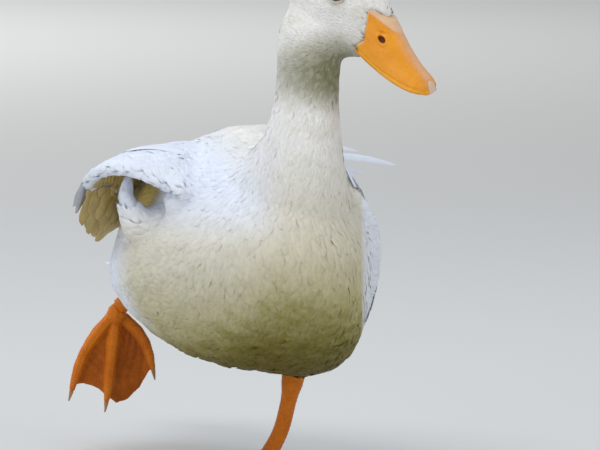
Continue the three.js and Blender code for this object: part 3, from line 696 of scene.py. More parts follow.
def follow(points, lay, lengths, steps):
    """Walks from each root along the skin. Returns the path on the skin and its normals."""
    paths = np.zeros((len(points), steps, 3))
    normals = np.zeros_like(paths)
    for m, (p, way, length) in enumerate(zip(points, lay, lengths)):
        spot, heading = Vector(p), Vector(way)
        stride = length / (steps - 1)
        for k in range(steps):
            if k:
                spot = spot + heading * stride
            hit, normal, _, _ = skin_tree.find_nearest(spot)
            heading = heading - normal * heading.dot(normal)
            heading.normalize()
            spot = hit
            paths[m, k] = hit
            normals[m, k] = normal
    normals[:, 1:] = unit(normals[:, 1:] + 0.6 * normals[:, :-1])
    return paths, normals


FRAY = 2.2  # how uneven a vane's tip is, for the unevenness of its sides


def vanes(
    name, paths, ups, half_widths, camber, uvs, tone, columns=5, tilt=0.0, ragged=0.0, softness=0.7
):
    """One closed, thin, arched vane along each path, all joined in one mesh.

    Ragged is how uneven the edges are, as a share of the width. Softness is how far the upper faces
    are shaded as the smooth body under them."""
    count, rings, _ = paths.shape
    ways = unit(np.gradient(paths, axis=1))
    sides = unit(np.cross(ups, ways))
    tilts = np.broadcast_to(np.asarray(tilt, float), (count,))[:, None, None]
    sides = unit(sides + ups * tilts)
    place = np.linspace(-1, 1, columns)
    widths = half_widths[:, :, None] * np.ones(columns)
    if ragged:
        widths = widths * (1 + rng.uniform(-ragged, ragged, widths.shape))
    spread = sides[:, :, None, :] * (widths * place)[..., None]
    arch = ups[:, :, None, :] * (camber[:, :, None] * (1 - place**2))[..., None]
    grid = paths[:, :, None, :] + spread + arch
    if ragged:
        reach = np.linalg.norm(paths[:, -1] - paths[:, -2], axis=-1)
        fray = rng.uniform(-0.9, 0.7, (count, columns)) * reach[:, None] * ragged * FRAY
        grid[:, -1] += ways[:, -1][:, None, :] * fray[..., None]
        grid[:, -2] += ways[:, -2][:, None, :] * (fray * 0.35)[..., None]
    points = grid.reshape(-1, 3)
    base = (np.arange(count) * rings * columns)[:, None, None]
    index = np.arange(rings * columns).reshape(rings, columns)
    quads = np.concatenate(
        [
            np.stack([index[:-1, :-1], index[1:, :-1], index[1:, 1:], index[:-1, 1:]], -1).reshape(-1, 4),
            np.stack([index[:-1, 0], index[:-1, -1], index[1:, -1], index[1:, 0]], -1),
        ]
    )
    caps = np.stack([index[0], index[-1, ::-1]])
    quads_each = len(quads)
    quads = (quads[None] + base).reshape(-1, 4)
    caps = (caps[None] + base).reshape(-1, columns)
    ob = mesh_from(name, points, [quads, caps])
    mesh = ob.data
    along = np.linspace(0, 1, rings)
    distance = np.concatenate(
        [np.zeros((count, 1)), np.cumsum(np.linalg.norm(np.diff(paths, axis=1), axis=-1), 1)], 1
    )
    patch = np.zeros((count, rings, columns, 2))
    patch[..., 0] = uvs[:, None, None, 0] + PATCH * 0.5 * place
    patch[..., 1] = uvs[:, None, None, 1] + PATCH * (along[:, None] - 0.5)
    barbs = np.zeros_like(patch)
    barbs[..., 0] = widths * place
    barbs[..., 1] = distance[:, :, None]
    corners = read(mesh.loops, "vertex_index", kind=np.int32)
    for layer, values in ((BAKE_MAP, patch), ("Barbs", barbs)):
        uv = mesh.uv_layers.new(name=layer)
        uv.data.foreach_set("uv", values.reshape(-1, 2)[corners].astype(np.float32).ravel())
    upper = np.arange(count * quads_each).reshape(count, -1)
    upper = ((upper[:, : (rings - 1) * (columns - 1)] * 4)[..., None] + np.arange(4)).ravel()
    own = read(mesh.corner_normals, "vector", 3, np.float32)
    smooth = ups[:, :, None, :] + sides[:, :, None, :] * (0.3 * place)[:, None]
    smooth = unit(smooth).reshape(-1, 3)
    corners_each = read(mesh.polygons, "loop_total", kind=np.int32)
    shading = np.repeat(read(mesh.polygons, "normal", 3), corners_each, axis=0)
    shading[upper] = unit(mix(unit(own[upper]), smooth[corners[upper]], softness))
    normal = mesh.attributes.new("custom_normal", "FLOAT_VECTOR", "CORNER")
    normal.data.foreach_set("vector", shading.astype(np.float32).ravel())
    ends = read(mesh.edges, "vertices", 2, np.int32)
    row, column = np.divmod(ends % (rings * columns), columns)
    border = np.zeros(len(ends), bool)
    for lines, last in ((row, rings - 1), (column, columns - 1)):
        border |= (lines == 0).all(-1) | (lines == last).all(-1)
    mesh.attributes.new("sharp_edge", "BOOLEAN", "EDGE").data.foreach_set("value", border)
    tones = np.broadcast_to(tone[:, None, None], (count, rings, columns))
    alongs = np.broadcast_to(along[None, :, None], (count, rings, columns))
    point_attribute(ob, "tone", tones)
    point_attribute(ob, "along", alongs)
    mesh.update()
    return ob


WAVE_COUNT = 14
WAVES = rng.normal(0, 1, (WAVE_COUNT, 3))
WAVE_STARTS = rng.uniform(0, TURN, WAVE_COUNT)
WAVE_LONG = 15 * MM


def swell(points):
    """A smooth, uneven rise and fall over the body, about -1 to 1."""
    way = WAVES / np.linalg.norm(WAVES, axis=1, keepdims=True)
    steep = TURN / WAVE_LONG * np.linspace(0.7, 1.5, len(way))
    return np.sin(points @ (way * steep[:, None]).T + WAVE_STARTS).sum(-1) / 3.6


def outline(rings, *keys):
    """A half width along a feather, from 0 at the root to 1 at the tip, through a few keys."""
    places, values = zip(*keys)
    return np.interp(np.linspace(0, 1, rings), places, values)


CONTOUR = ((0, 0.5), (0.3, 0.95), (0.65, 1.0), (0.85, 0.88), (1, 0.46))
ASIDE = (0.927, -0.375)  # the way to the left, square to the walk
SIDE_FOLD = 0.0805  # how far that way the breast's feathers end, before the left wing
FOLD_DEEP = 1.3 * MM
FOLD_REAR, FOLD_TOP = -0.08, 0.25


def beside(points):
    """How far points are to the left, square to the walk."""
    return ASIDE[0] * points[:, 0] + ASIDE[1] * points[:, 1]


def fluff(points):
    """1 over the lower breast and belly, where the plumage is ruffled, and 0 where it is tight."""
    return smoothstep(-points[:, 2], -0.215, -0.115) * smoothstep(-points[:, 1], -0.12, 0.02)


def from_neck(p):
    """0 where the breast meets the neck, 1 a little below, for feathers that grow with the way down."""
    return smoothstep(distances("neck", p), 4 * MM, 50 * MM)


def coat_height(p):
    """How high the outer feathers stand over the skin, from the face's down to the body's."""
    height = blended_depth(*(distances(name, p) for name in ("head", "neck", "trunk")))
    wings = np.minimum(distances("wing_left", p), distances("wing_right", p))
    return np.minimum(height, mix(2.4 * MM, BODY_COAT, smoothstep(wings, 0, 8 * MM)))


def down_height(p):
    """The undercoat stands close under the outer feathers."""
    return 0.84 * coat_height(p)


def small_zone(wing, s, v):
    """1 where a wing has only small feathers: along its front, and on the lifted one's rim and root."""
    if wing["side"] == LEFT:
        return smoothstep(s, 0.06, 0.02)
    return np.maximum(np.maximum(rim(s, v), tucked(s, v)), smoothstep(s, 0.15, 0.10))


def wing_down_height(p):
    """The small feathers on the wings: high where there are no others, and under the coverts behind."""
    left = small_zone(wing_left, *place_on_wing(wing_left, p))
    right = small_zone(wing_right, *place_on_wing(wing_right, p))
    return mix(1.6, 2.4, np.where(p[:, 0] < -15 * MM, right, left)) * MM


NARROW = 3  # points across a small feather
EYE_CLEAR = 5.4 * MM  # no feather comes nearer to the middle of an eye


def body_tufts(name, wanted, spacing, length, width, depth, swing, lift, rings, ragged, softness=0.8):
    """Small feathers over part of the skin.

    Sizes are functions of the roots, or plain numbers of millimetres. Swing is how far the feathers
    turn aside, and lift is how far some stand up from the rest."""
    points, normals = scatter(wanted, spacing)
    count = len(points)
    lay = lay_of_feathers(points, normals)
    sideways = np.cross(normals, lay)
    swing = swing(points) if callable(swing) else swing
    turns = rng.normal(0, 1, count) * swing
    drift = swell(points[:, [1, 2, 0]]) * 2.2 * swing
    lay = unit(lay + sideways * (turns + drift)[:, None])
    lengths = sizes_at(length, points) * rng.uniform(0.85, 1.15, count)
    paths, ups = follow(points, lay, lengths, rings)
    to_eyes = [np.linalg.norm(paths - eye, axis=-1).min(-1) for eye in (eye_left, eye_right)]
    keep = np.minimum(*to_eyes) > EYE_CLEAR
    points, paths, ups = points[keep], paths[keep], ups[keep]
    count = len(points)
    along = np.linspace(0, 1, rings)
    lifts = sizes_at(lift, points)
    height = sizes_at(depth, points) * rng.uniform(0.96, 1.03, count) + rng.exponential(1, count) * lifts
    flat = mix(0.90, 0.78, fluff(points))[:, None]
    rise = np.minimum(along / 0.35, 1) * (flat + (1 - flat) * along)
    at_fold = (points[:, 1] < FOLD_REAR) & (points[:, 2] < FOLD_TOP)
    height = height - FOLD_DEEP * bell((beside(points) - SIDE_FOLD) / MM, 2.2) * at_fold
    lumps = swell(points) * np.minimum(lifts * 4.0, 0.8 * MM)
    paths = paths + ups * (height[:, None] * rise + (lumps - 0.3 * MM)[:, None])[..., None]
    half_widths = sizes_at(width, points)[:, None] / 2 * outline(rings, *CONTOUR)
    half_widths = half_widths * rng.uniform(0.85, 1.15, (count, 1))
    return vanes(
        name, paths, ups, half_widths, half_widths * (1 - softness), root_uvs(points),
        rng.normal(0, 1, count), columns=NARROW, tilt=rng.normal(0, 0.05, count),
        ragged=ragged, softness=softness
    )


HEAD_REACH = 9 * MM  # skin further than this from the head or neck isn't theirs
TRUNK_REACH = 8.5 * MM
FLAME_LEAST = 0.8  # where the flame's feathers take over from the flank's

# Which of the skin's faces each kind of feather grows on.
near_part = {name: distances(name, face_middles) for name in part_trees}
inside = np.minimum(near_part["head"], np.minimum(near_part["neck"], near_part["trunk"]))
is_head = (near_part["head"] < near_part["neck"]) & (near_part["head"] < HEAD_REACH)
is_neck = (near_part["neck"] <= near_part["head"]) & (near_part["neck"] < near_part["trunk"])
nearest_wing = np.minimum(near_part["wing_left"], near_part["wing_right"])
over_wing = (nearest_wing < near_part["trunk"] - 0.6 * MM) & (near_part["neck"] > HEAD_REACH)
is_wing = (inside > TRUNK_REACH) | over_wing
is_trunk = ~is_head & ~is_neck & ~is_wing
LAP = 6 * MM  # each kind of feather starts a little way under the kind before it
is_trunk |= (near_part["neck"] < LAP / 2) & (near_part["trunk"] < LAP)
is_neck |= (near_part["head"] < LAP / 2) & (near_part["neck"] < LAP)
is_flame = flame_share(face_middles) > FLAME_LEAST
is_trunk &= ~is_flame
is_wing &= ~is_flame


def outside_bill(points):
    """Which points lie outside the bill and a little clear of it."""
    clear = []
    for p in points:
        hit, normal, _, gap = bill_tree.find_nearest(Vector(p))
        clear.append(gap > 0.4 * MM and (Vector(p) - hit).dot(normal) > 0)
    return np.array(clear)


is_head &= (near_part["bill_lower"] > 0.8 * MM) & outside_bill(face_middles)

LINING_LAST = 0.54  # how far along the lifted wing its small lining feathers go
HOOD_LAST = 0.28  # and how far the down on the rest of its inner face goes
hood_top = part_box("wing_right")[1].z
from_axis = unit((face_middles - np.array(middle("trunk"))) * np.array([1, 0, 1]))
faces_in = np.sum(from_axis * face_normals, -1) < -0.35
below_top = face_middles[:, 2] < hood_top - 27 * MM
is_inner = is_wing & (face_middles[:, 0] < 0) & faces_in & below_top
along_hood, over_hood = place_on_wing(wing_right, face_middles)
flesh_ends = mix(0.93, 0.68, smoothstep(along_hood, 0.30, 0.46))
is_lining = is_inner & (along_hood < LINING_LAST) & (over_hood < flesh_ends)
is_outer = is_wing & ~is_lining & ~(is_inner & (along_hood > HOOD_LAST))

in_front = face_middles[:, 1] < -70 * MM
behind = face_middles[:, 1] > 50 * MM
on_top = face_middles[:, 2] > 178 * MM
BODY_FEATHERS = (
    lambda p: mix(2.1, mix(2.65, 2.4, fluff(p)), from_neck(p)) * MM,
    lambda p: mix(9.5, mix(13.5, 10.5, fluff(p)), from_neck(p)) * MM,
    lambda p: mix(4.4, mix(6.6, 5.2, fluff(p)), from_neck(p)) * MM,
    coat_height,
    lambda p: mix(0.09, 0.19, fluff(p)),
    lambda p: mix(0.01, 0.15, fluff(p)) * MM,
    5,
    0.17,
    0.9,
)
coats = {
    name: body_tufts(name, *settings)
    for name, *settings in (  # where, spacing, length, width, height, swing, lift, rings, ragged, softness
        ("breast_feathers", is_trunk & in_front, *BODY_FEATHERS),
        ("flank_feathers", is_trunk & ~in_front & ~behind & ~on_top, *BODY_FEATHERS),
        ("back_feathers", is_trunk & ~in_front & ~behind & on_top, *BODY_FEATHERS),
        ("rump_feathers", is_trunk & behind, *BODY_FEATHERS),
        ("undercoat", is_trunk | is_neck, 4.5, 12.0, 10.0, down_height, 0.1, 0.01, 4, 0.2, 0.9),
        ("head_undercoat", is_head, 2.6, 6.0, 4.4, down_height, 0.1, 0.0, 4, 0.15, 0.92),
        ("wing_down", is_outer, 2.3, 9.0, 5.0, wing_down_height, 0.1, 0.01, 4, 0.15, 0.92),
        ("underwing_down", is_lining, 3.0, 9.0, 6.0, 1.6, 0.1, 0.02, 4, 0.15),
        ("neck_feathers", is_neck, 1.9, 8.5, 3.8, coat_height, 0.08, 0.01, 4, 0.18, 0.9),
        ("head_feathers", is_head, 1.35, 4.8, 2.7, coat_height, 0.12, 0.01, 4, 0.2, 0.9),
    )
}
lining_down = coats.pop("underwing_down")


# ---------------------------------------------------------------- wing and tail feathers

QUILL = ((0, 0.35), (0.12, 0.8), (0.45, 1.0), (0.8, 0.94), (0.93, 0.66), (1, 0.2))
BROAD = ((0, 0.4), (0.25, 0.85), (0.65, 1.0), (0.88, 0.78), (1, 0.25))


def wing_vanes(
    name, wing, starts, ends, half_width, shape, rings, heights, outer=True, ragged=0.05, softness=0.6
):
    """Feathers laid on a wing from one place on it to another, as shares along and across it.

    Half widths, and heights at root and tip, are in millimetres."""
    count = len(starts)
    along = np.linspace(0, 1, rings)
    s = mix(starts[:, :1], ends[:, :1], along)
    v = mix(starts[:, 1:], ends[:, 1:], along**1.15)
    low, high = (height * MM for height in heights)
    order = rng.uniform(-0.12, 0.12, count) * MM
    rise = mix(low, high, np.minimum(along / 0.8, 1)) + order[:, None]
    rise = rise + sunk(wing, s, v) * (-1 if outer else 1)
    paths = on_wing(wing, s, v, rise, outer)
    ups = wing_normal(wing, s, v, outer)
    widths = np.full((count, 1), half_width * MM)
    widths = widths * outline(rings, *shape) * rng.uniform(0.94, 1.06, (count, 1))
    return vanes(
        name, paths, ups, widths, widths * 0.25 * (1 - softness), root_uvs(paths[:, 0]),
        rng.normal(0, 0.8, count), tilt=rng.normal(0, 0.02, count), ragged=ragged, softness=softness
    )


def behind_edge(wing, starts, ends):
    """The feathers of a row that leave the zone of small feathers free."""
    kept = np.maximum(small_zone(wing, *starts.T), small_zone(wing, *ends.T)) < 0.5
    return starts[kept], ends[kept]


def row(count, start, end, jitter=0.006):
    """Places in an even row from one share along and across a wing to another."""
    t = np.linspace(0, 1, count)[:, None]
    places = mix(np.array(start), np.array(end), t)
    return places + rng.normal(0, jitter, places.shape)


def flight_feathers(wing, name):
    """Primaries at the tip, secondaries along the free edge and tertials over them."""
    lifted = wing["side"] == RIGHT
    starts = row(10, (0.46, 0.40), (0.42, 0.82))
    ends = row(10, (1.02, 0.3 if lifted else 0.12), (0.86, 0.95), 0.003)
    primaries = wing_vanes(
        name + "_primaries", wing, starts, ends, 9.0, QUILL, 12, (-2.0, -0.4), ragged=0.03
    )
    edge = 1.03 if lifted else 0.99
    reach = 0.2 if lifted else 0.3
    starts = row(15, (0.0, 0.5), (0.48, 0.5))
    ends = row(15, (reach * 0.6, edge), (0.5 + reach, edge), 0.008)
    secondaries = wing_vanes(
        name + "_secondaries", wing, *behind_edge(wing, starts, ends), 10.5, QUILL, 11, (-1.6, -0.4),
        ragged=0.03
    )
    top = 0.24 if lifted else 0.06
    starts = row(7, (0.34, top), (0.40, top + 0.36))
    ends = row(7, (0.80, top + 0.04), (0.84, top + 0.46))
    tertials = wing_vanes(
        name + "_tertials", wing, starts, ends, 12.0, BROAD, 9, (-0.6, 0.8), ragged=0.04
    )
    return primaries, joined(name + "_secondaries", [secondaries, tertials])


def coverts(wing, name):
    """The small feathers over a wing, in rows from large at the back to small at the front."""
    lifted = wing["side"] == RIGHT
    drop = 0.34 if lifted else 0.2
    starts = row(18, (0.0, 0.34), (0.46, 0.34))
    ends = row(18, (0.09, 0.34 + drop), (0.60, 0.34 + drop))
    rows = [wing_vanes(name, wing, *behind_edge(wing, starts, ends), 9.0, BROAD, 8, (-0.8, 0.6))]
    foremost, count, high = (0.14, 20, 0.90) if lifted else (0.01, 24, 0.94)
    for start in np.linspace(0.52, foremost, count):
        small = smoothstep(start, 0.5, 0.05)
        starts = row(int(mix(18, 34, small) * (high + 0.06)), (start, -0.06), (start, high), 0.012)
        length = mix(0.10, 0.05, small)
        step = np.array([length, length * (0.8 if lifted else 0.4)])
        starts, _ = behind_edge(wing, starts, starts + step * 0.3)
        if len(starts):
            rows.append(
                wing_vanes(
                    name, wing, starts, starts + step, mix(7.0, 3.6, small), BROAD, 5,
                    (-1.6, mix(0.5, 0.0, small)), ragged=0.1, softness=0.9
                )
            )
    return joined(name, rows)


def underwing(wing, name):
    """The lining of the lifted wing."""
    step = np.array([0.05, 0.14])
    rows = []
    for start in np.linspace(0.92, 0.10, 9):
        first = 0.13 if start > 0.45 else 0.30
        starts = row(int(22 * (0.64 - first)), (first, start), (0.62, start), 0.008)
        on_rim = np.maximum(rim(*starts.T), rim(*(starts + step).T))
        starts = starts[(on_rim < 0.8) & (starts[:, 0] > 0.15)]
        if len(starts):
            rows.append(
                wing_vanes(
                    name, wing, starts, starts + step, 9.0, BROAD, 6, (-0.5, 1.0),
                    outer=False, softness=0.85
                )
            )
    return joined(name, rows)


left_primaries, left_secondaries = flight_feathers(wing_left, "left")
right_primaries, right_secondaries = flight_feathers(wing_right, "right")
left_coverts = coverts(wing_left, "left_coverts")
right_coverts = coverts(wing_right, "right_coverts")
lining = underwing(wing_right, "underwing_coverts")


def locks(name, roots, tips, bend, half_widths, shape, rings, columns, up, ragged=0.15):
    """Free feathers from roots to tips, bowed aside by a given amount, with their faces turned up."""
    count = len(roots)
    along = np.linspace(0, 1, rings)[None, :, None]
    paths = mix(roots[:, None], tips[:, None], along) + bend[:, None] * (np.sin(along * math.pi))
    ways = unit(tips - roots)
    ups = np.repeat(across(np.broadcast_to(up, ways.shape), ways)[:, None], rings, 1)
    widths = half_widths[:, None] * outline(rings, *shape)
    return vanes(
        name, paths, ups, widths, widths * 0.2, root_uvs(roots), rng.normal(0, 0.7, count),
        columns=columns, tilt=rng.normal(0, 0.12, count), ragged=ragged, softness=0.75
    )


def flank_plume():
    """The small soft feathers of the flank's flame, with loose ones at its tip."""
    small = body_tufts(
        "flank_plume", is_flame, 1.7,
        lambda p: np.clip(0.55 * np.linalg.norm(p - tuft_tip, axis=1), 3 * MM, 9 * MM),
        3.4, 1.5, 0.07, 0.02, 5, 0.15, softness=0.9
    )
    count = 60
    turn = rng.uniform(0, 2 * math.pi, count)
    below = rng.uniform(5, 17, count) * MM
    line, wide = flame_axis(below)
    out = np.stack([np.cos(turn), np.sin(turn), 0 * turn], -1)
    roots = line + out * np.array([1, FLAME_DEEP, 1]) * (wide + 0.5 * MM)[:, None]
    drop = np.array([0, 0, 1]) * (below * rng.uniform(0, 0.4, count))[:, None]
    tips = tuft_tip + out * np.array([0.8, 1.6, 0]) * MM - drop
    bend = out * (1.0 * MM * rng.uniform(0.5, 1.2, count))[:, None]
    shape = ((0, 0.5), (0.4, 1.0), (0.8, 0.6), (1, 0.08))
    free = locks(
        "flank_plume", roots, tips, bend, rng.uniform(0.8, 1.4, count) * MM, shape, 7, NARROW,
        out + np.array([0, 0, 0.25])
    )
    return joined("flank_plume", [small, free])


def loose_feathers():
    """Narrow feathers of the left wing that stand out behind the neck as two blades."""
    points = coords(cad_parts["wing_left"])
    tip = points[np.argmax(points[:, 0])]
    tips = np.array([tip, tip + np.array([-37, -4, 13]) * MM, tip + np.array([-30, 2, -6]) * MM])
    from_tip = ((-97, -44, 13), (-103, -40, 18), (-90, -40, 6))
    roots = np.array([tip + np.array(place) * MM for place in from_tip])
    bend = np.array([[0, -3, 3.0], [0, 0, 2.5], [0, -2, 1.0]]) * MM
    shape = ((0, 0.5), (0.2, 1.0), (0.7, 0.95), (0.92, 0.5), (1, 0.06))
    return locks(
        "loose_wing_feathers", roots, tips, bend, np.array([4.2, 3.4, 3.2]) * MM, shape, 14, 5,
        np.array([0.1, -0.75, 0.65]), ragged=0.06
    )


TAIL_ROWS = (  # how many feathers, from where to where along the tail, half width, over it or under
    (16, 0.0, 1.0, 7.5, True),
    (13, 0.0, 0.66, 7.0, True),
    (11, -0.15, 0.42, 7.0, True),
    (13, 0.0, 0.62, 7.0, False),
)


def tail_feathers():
    """A flat fan of quills with rows of coverts over and under it."""
    tree = part_trees["tail"]
    low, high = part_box("tail")
    centre = (low.x + high.x) / 2
    half = (high.x - low.x) / 2
    rings = 9
    along = np.linspace(0, 1, rings)
    rows = []

    def sheet(xs, ys, up):
        """The heights of the tail's upper or lower face, filled in where it has none."""
        heights = []
        for x, y in zip(xs, ys):
            start = Vector((x, min(y, high.y - 3 * MM), high.z + 0.05 if up > 0 else low.z - 0.05))
            hit = tree.ray_cast(start, Vector((0, 0, -up)))[0]
            heights.append(hit.z if hit else np.nan)
        heights = np.array(heights)
        good = ~np.isnan(heights)
        if not good.any():
            return np.full(rings, middle("tail").z)
        return np.interp(along, along[good], heights[good])

    for count, first, last, width, above in TAIL_ROWS:
        up = 1 if above else -1
        t = np.linspace(-1, 1, count)
        x = centre + half * t[:, None] * mix(0.36, 0.86, along)
        reach = last * (1 - 0.24 * t**2)
        y = low.y + (high.y - low.y) * mix(first, reach[:, None], along)
        z = np.array([sheet(xs, ys, up) for xs, ys in zip(x, y)])
        lift = up * (1.4 - 0.8 * last) * MM
        paths = np.stack([x, y, z + lift + rng.uniform(-0.2, 0.2, (count, 1)) * MM], -1)
        ups = np.broadcast_to(np.array([0, 0, float(up)]), paths.shape)
        widths = width * MM * outline(rings, *QUILL) * np.ones((count, 1))
        rows.append(
            vanes(
                "tail_feathers", paths, ups, widths, widths * 0.14, root_uvs(paths[:, 0]),
                rng.normal(0, 0.8, count), tilt=np.full(count, 0.03), ragged=0.05
            )
        )
    return joined("tail_feathers", rows)


quills = [
    left_primaries, left_secondaries, right_primaries, right_secondaries, left_coverts, right_coverts,
    flank_plume(), loose_feathers(), tail_feathers()
]


# ---------------------------------------------------------------- bill, eyes, legs and feet


ON_SIDE = 5  # this far from the middle, a point is on the side of the bill
NOSTRIL = (61.5, 11.6, -8.2)  # in the head's frame
NOSTRIL_LONG = 3.9
NOSTRIL_HIGH = 2.5


NOSTRIL_TURN = (0.92, 0.39)  # the cosine and sine of how far it leans from the head's own forward


def nostril_reach(forward, left, up):
    """How far points are from the middle of the nearer nostril, 1 at its rim."""
    c, s = NOSTRIL_TURN
    along = (forward - NOSTRIL[0]) * c - (up - NOSTRIL[2]) * s
    over = (forward - NOSTRIL[0]) * s + (up - NOSTRIL[2]) * c
    elsewhere = np.where(np.abs(left) > ON_SIDE, 0, 9)
    return np.hypot(along / NOSTRIL_LONG, over / NOSTRIL_HIGH) + elsewhere


def height_over_edge(forward, up):
    """How far points are above the bill's lower edge, which is looked for in slices along the bill."""
    slices = 40
    bins = np.linspace(forward.min(), forward.max(), slices)
    place = np.digitize(forward, bins)
    numbers = np.arange(slices + 2)
    edge = np.array([up[place == k].min() if (place == k).any() else np.nan for k in numbers])
    known = ~np.isnan(edge)
    edge = np.interp(numbers, numbers[known], edge[known])
    return up - np.interp(forward, np.r_[bins[0], bins, bins[-1]], edge)


def shape_upper_bill(ob):
    """Sinks the nostrils, and rolls the edges at the lip and at the feathers."""
    points, normals = coords(ob), vertex_normals(ob)
    forward, left, up = in_head(points)
    reach = nostril_reach(forward, left, up)
    push = -2.6 * smoothstep(reach, 1.0, 0.55) + 0.42 * bell(reach - 1.25, 0.28)
    crease = bell(np.hypot((forward - 64.5) / 3.2, (up + 14.0) / 0.7), 1.0) * (np.abs(left) > ON_SIDE)
    push -= 0.35 * crease
    above_edge = height_over_edge(forward, up)
    on_flank = smoothstep(np.abs(normals @ head_side), 0.2, 0.6)
    push -= 0.45 * bell(above_edge - 3.1, 0.8) * on_flank
    push += 0.25 * bell(above_edge - 1.4, 1.1) * on_flank
    before = before_line(forward, up)
    push += 0.35 * bell(before - 1.0, 1.1)
    beside_culmen = bell(np.abs(left) - 7.2, 1.3)
    push -= 0.30 * beside_culmen * smoothstep(forward, 56, 66) * smoothstep(forward, 104, 90)
    set_coords(ob, points + normals * (push * MM)[:, None])
    point_attribute(ob, "nostril", smoothstep(reach, 1.05, 0.7))
    point_attribute(ob, "lip", smoothstep(above_edge, 3.2, 2.2))
    point_attribute(ob, "rim", smoothstep(before, 2.6, 1.2))
    # A pink painted highlight is laid along the top of the bill.
    top = smoothstep(normals @ head_up, 0.35, 0.95)
    point_attribute(ob, "culmen_highlight", top * bell(left, 6.0) * mix(0.35, 1.0, smoothstep(forward, 56, 74)))


def lower_bill():
    """The lower bill, with fine combs along its edges."""
    ob = remodelled("bill_bottom", "bill_lower", 0.7 * MM, 6)
    points = coords(ob)
    forward, left, up = in_head(points)
    combs = np.sin(forward * 2 * math.pi / 1.9) * bell(up - up.max() + 2.0, 1.8) * (np.abs(left) > 6)
    set_coords(ob, points + vertex_normals(ob) * (combs * 0.16 * MM)[:, None])
    for name in ("nostril", "rim", "culmen_highlight"):
        point_attribute(ob, name, np.zeros(len(points)))
    point_attribute(ob, "lip", 0.35 + 0 * up)
    return ob


def shade_smooth(ob):
    for face in ob.data.polygons:
        face.use_smooth = True


def eye_size(side):
    """The middle and the radius of an eye, and the word for its side."""
    word = "left" if side == LEFT else "right"
    low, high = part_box("eye_" + word)
    return middle("eye_" + word), (high.x - low.x) / 2, word


def eye(side):
    """An eyeball with a clear, domed front."""
    centre, radius, word = eye_size(side)
    out = Vector(head_side * side * 0.94 + head_forward * 0.30 + head_up * 0.10).normalized()
    ob = ball(48, 32, radius)
    ob.name = "eyeball_" + word
    points = coords(ob)
    axis = points[:, 2] / radius
    points[:, 2] += 0.12 * radius * smoothstep(axis, 0.72, 1.0)
    set_coords(ob, points)
    point_attribute(ob, "iris", smoothstep(axis, 0.60, 0.68))
    point_attribute(ob, "pupil", smoothstep(axis, 0.855, 0.895))
    turn = out.to_track_quat("Z", "Y").to_matrix()
    set_coords(ob, coords(ob) @ np.array(turn).T + np.array(centre))
    shade_smooth(ob)
    return ob


def eyelids(side):
    """Upper and lower lids, as a soft almond ring drawn over the eyeball."""
    centre, radius, word = eye_size(side)
    out = unit(head_side * side * 0.97 + head_forward * 0.22 + head_up * 0.06)
    forward = across(head_forward, out)
    up = np.cross(out, forward)
    up = up * np.sign(up @ head_up)
    deselect()
    bpy.ops.mesh.primitive_torus_add(
        major_segments=72, minor_segments=16, major_radius=1.0, minor_radius=0.2, location=(0, 0, 0)
    )
    ob = bpy.context.active_object
    ob.name = "eyelids_" + word
    p = coords(ob)
    turn = np.arctan2(p[:, 1], p[:, 0])
    ring = np.hypot(p[:, 0], p[:, 1]) - 1.0
    corner = np.abs(np.cos(turn)) ** 6
    half_long = (0.90 + 0.16 * corner) * radius
    half_high = (0.84 - 0.05 * (np.sin(turn) > 0)) * radius
    along = np.cos(turn) * (half_long + ring * radius)
    over = np.sin(turn) * (half_high + ring * radius)
    fold = 0.035 * radius * np.sin(turn * 26 + ring * 30) * smoothstep(ring, -0.1, 0.15)
    flat = np.hypot(np.cos(turn) * half_long, np.sin(turn) * half_high)
    rise = np.sqrt(np.maximum((1.03 * radius) ** 2 - flat**2, (0.16 * radius) ** 2))
    rise = rise + p[:, 2] * radius * 0.9 - 0.16 * radius * corner + fold - 0.35 * ring * radius
    points = np.array(centre) + along[:, None] * forward + over[:, None] * up + rise[:, None] * out
    set_coords(ob, points)
    edit(ob, bpy.ops.mesh.normals_make_consistent, inside=False)
    shade_smooth(ob)
    return ob


FURTHEST = 0.05  # that a thickness is looked for


def thickness(ob, points, normals):
    """How thick the piece is under each of its points."""
    tree = bvh_of(ob)
    found = []
    for p, way in zip(points, normals):
        hit = tree.ray_cast(Vector(p - way * 0.2 * MM), Vector(-way), FURTHEST)
        found.append(hit[3] if hit[0] else FURTHEST)
    return np.array(found)


def leg(node, name):
    """A shank with broad scutes in front and small ones behind."""
    ob = remodelled(name, node, 0.9 * MM, 5, 0.3 * MM)
    points, normals = coords(ob), vertex_normals(ob)
    low, high = (np.array(c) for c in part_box(node))
    long_axis = np.argmax((high - low) * np.array([0.2, 1, 1]))
    along = points[:, long_axis] / MM
    front = smoothstep(-normals[:, 1] if long_axis == 2 else -normals[:, 2], -0.1, 0.6)
    saw = (along / 3.4) % 1.0
    step = (saw - 0.5) * smoothstep(saw, 0.0, 0.12) * front
    ring = np.sin(along * 2 * math.pi / 2.3) * np.sin((points[:, 0] - points[:, 1]) / MM * 2.6)
    push = 0.34 * step + 0.10 * ring * (1 - front)
    set_coords(ob, points + normals * (push * MM)[:, None])
    point_attribute(ob, "toe", np.ones(len(points)))
    return ob


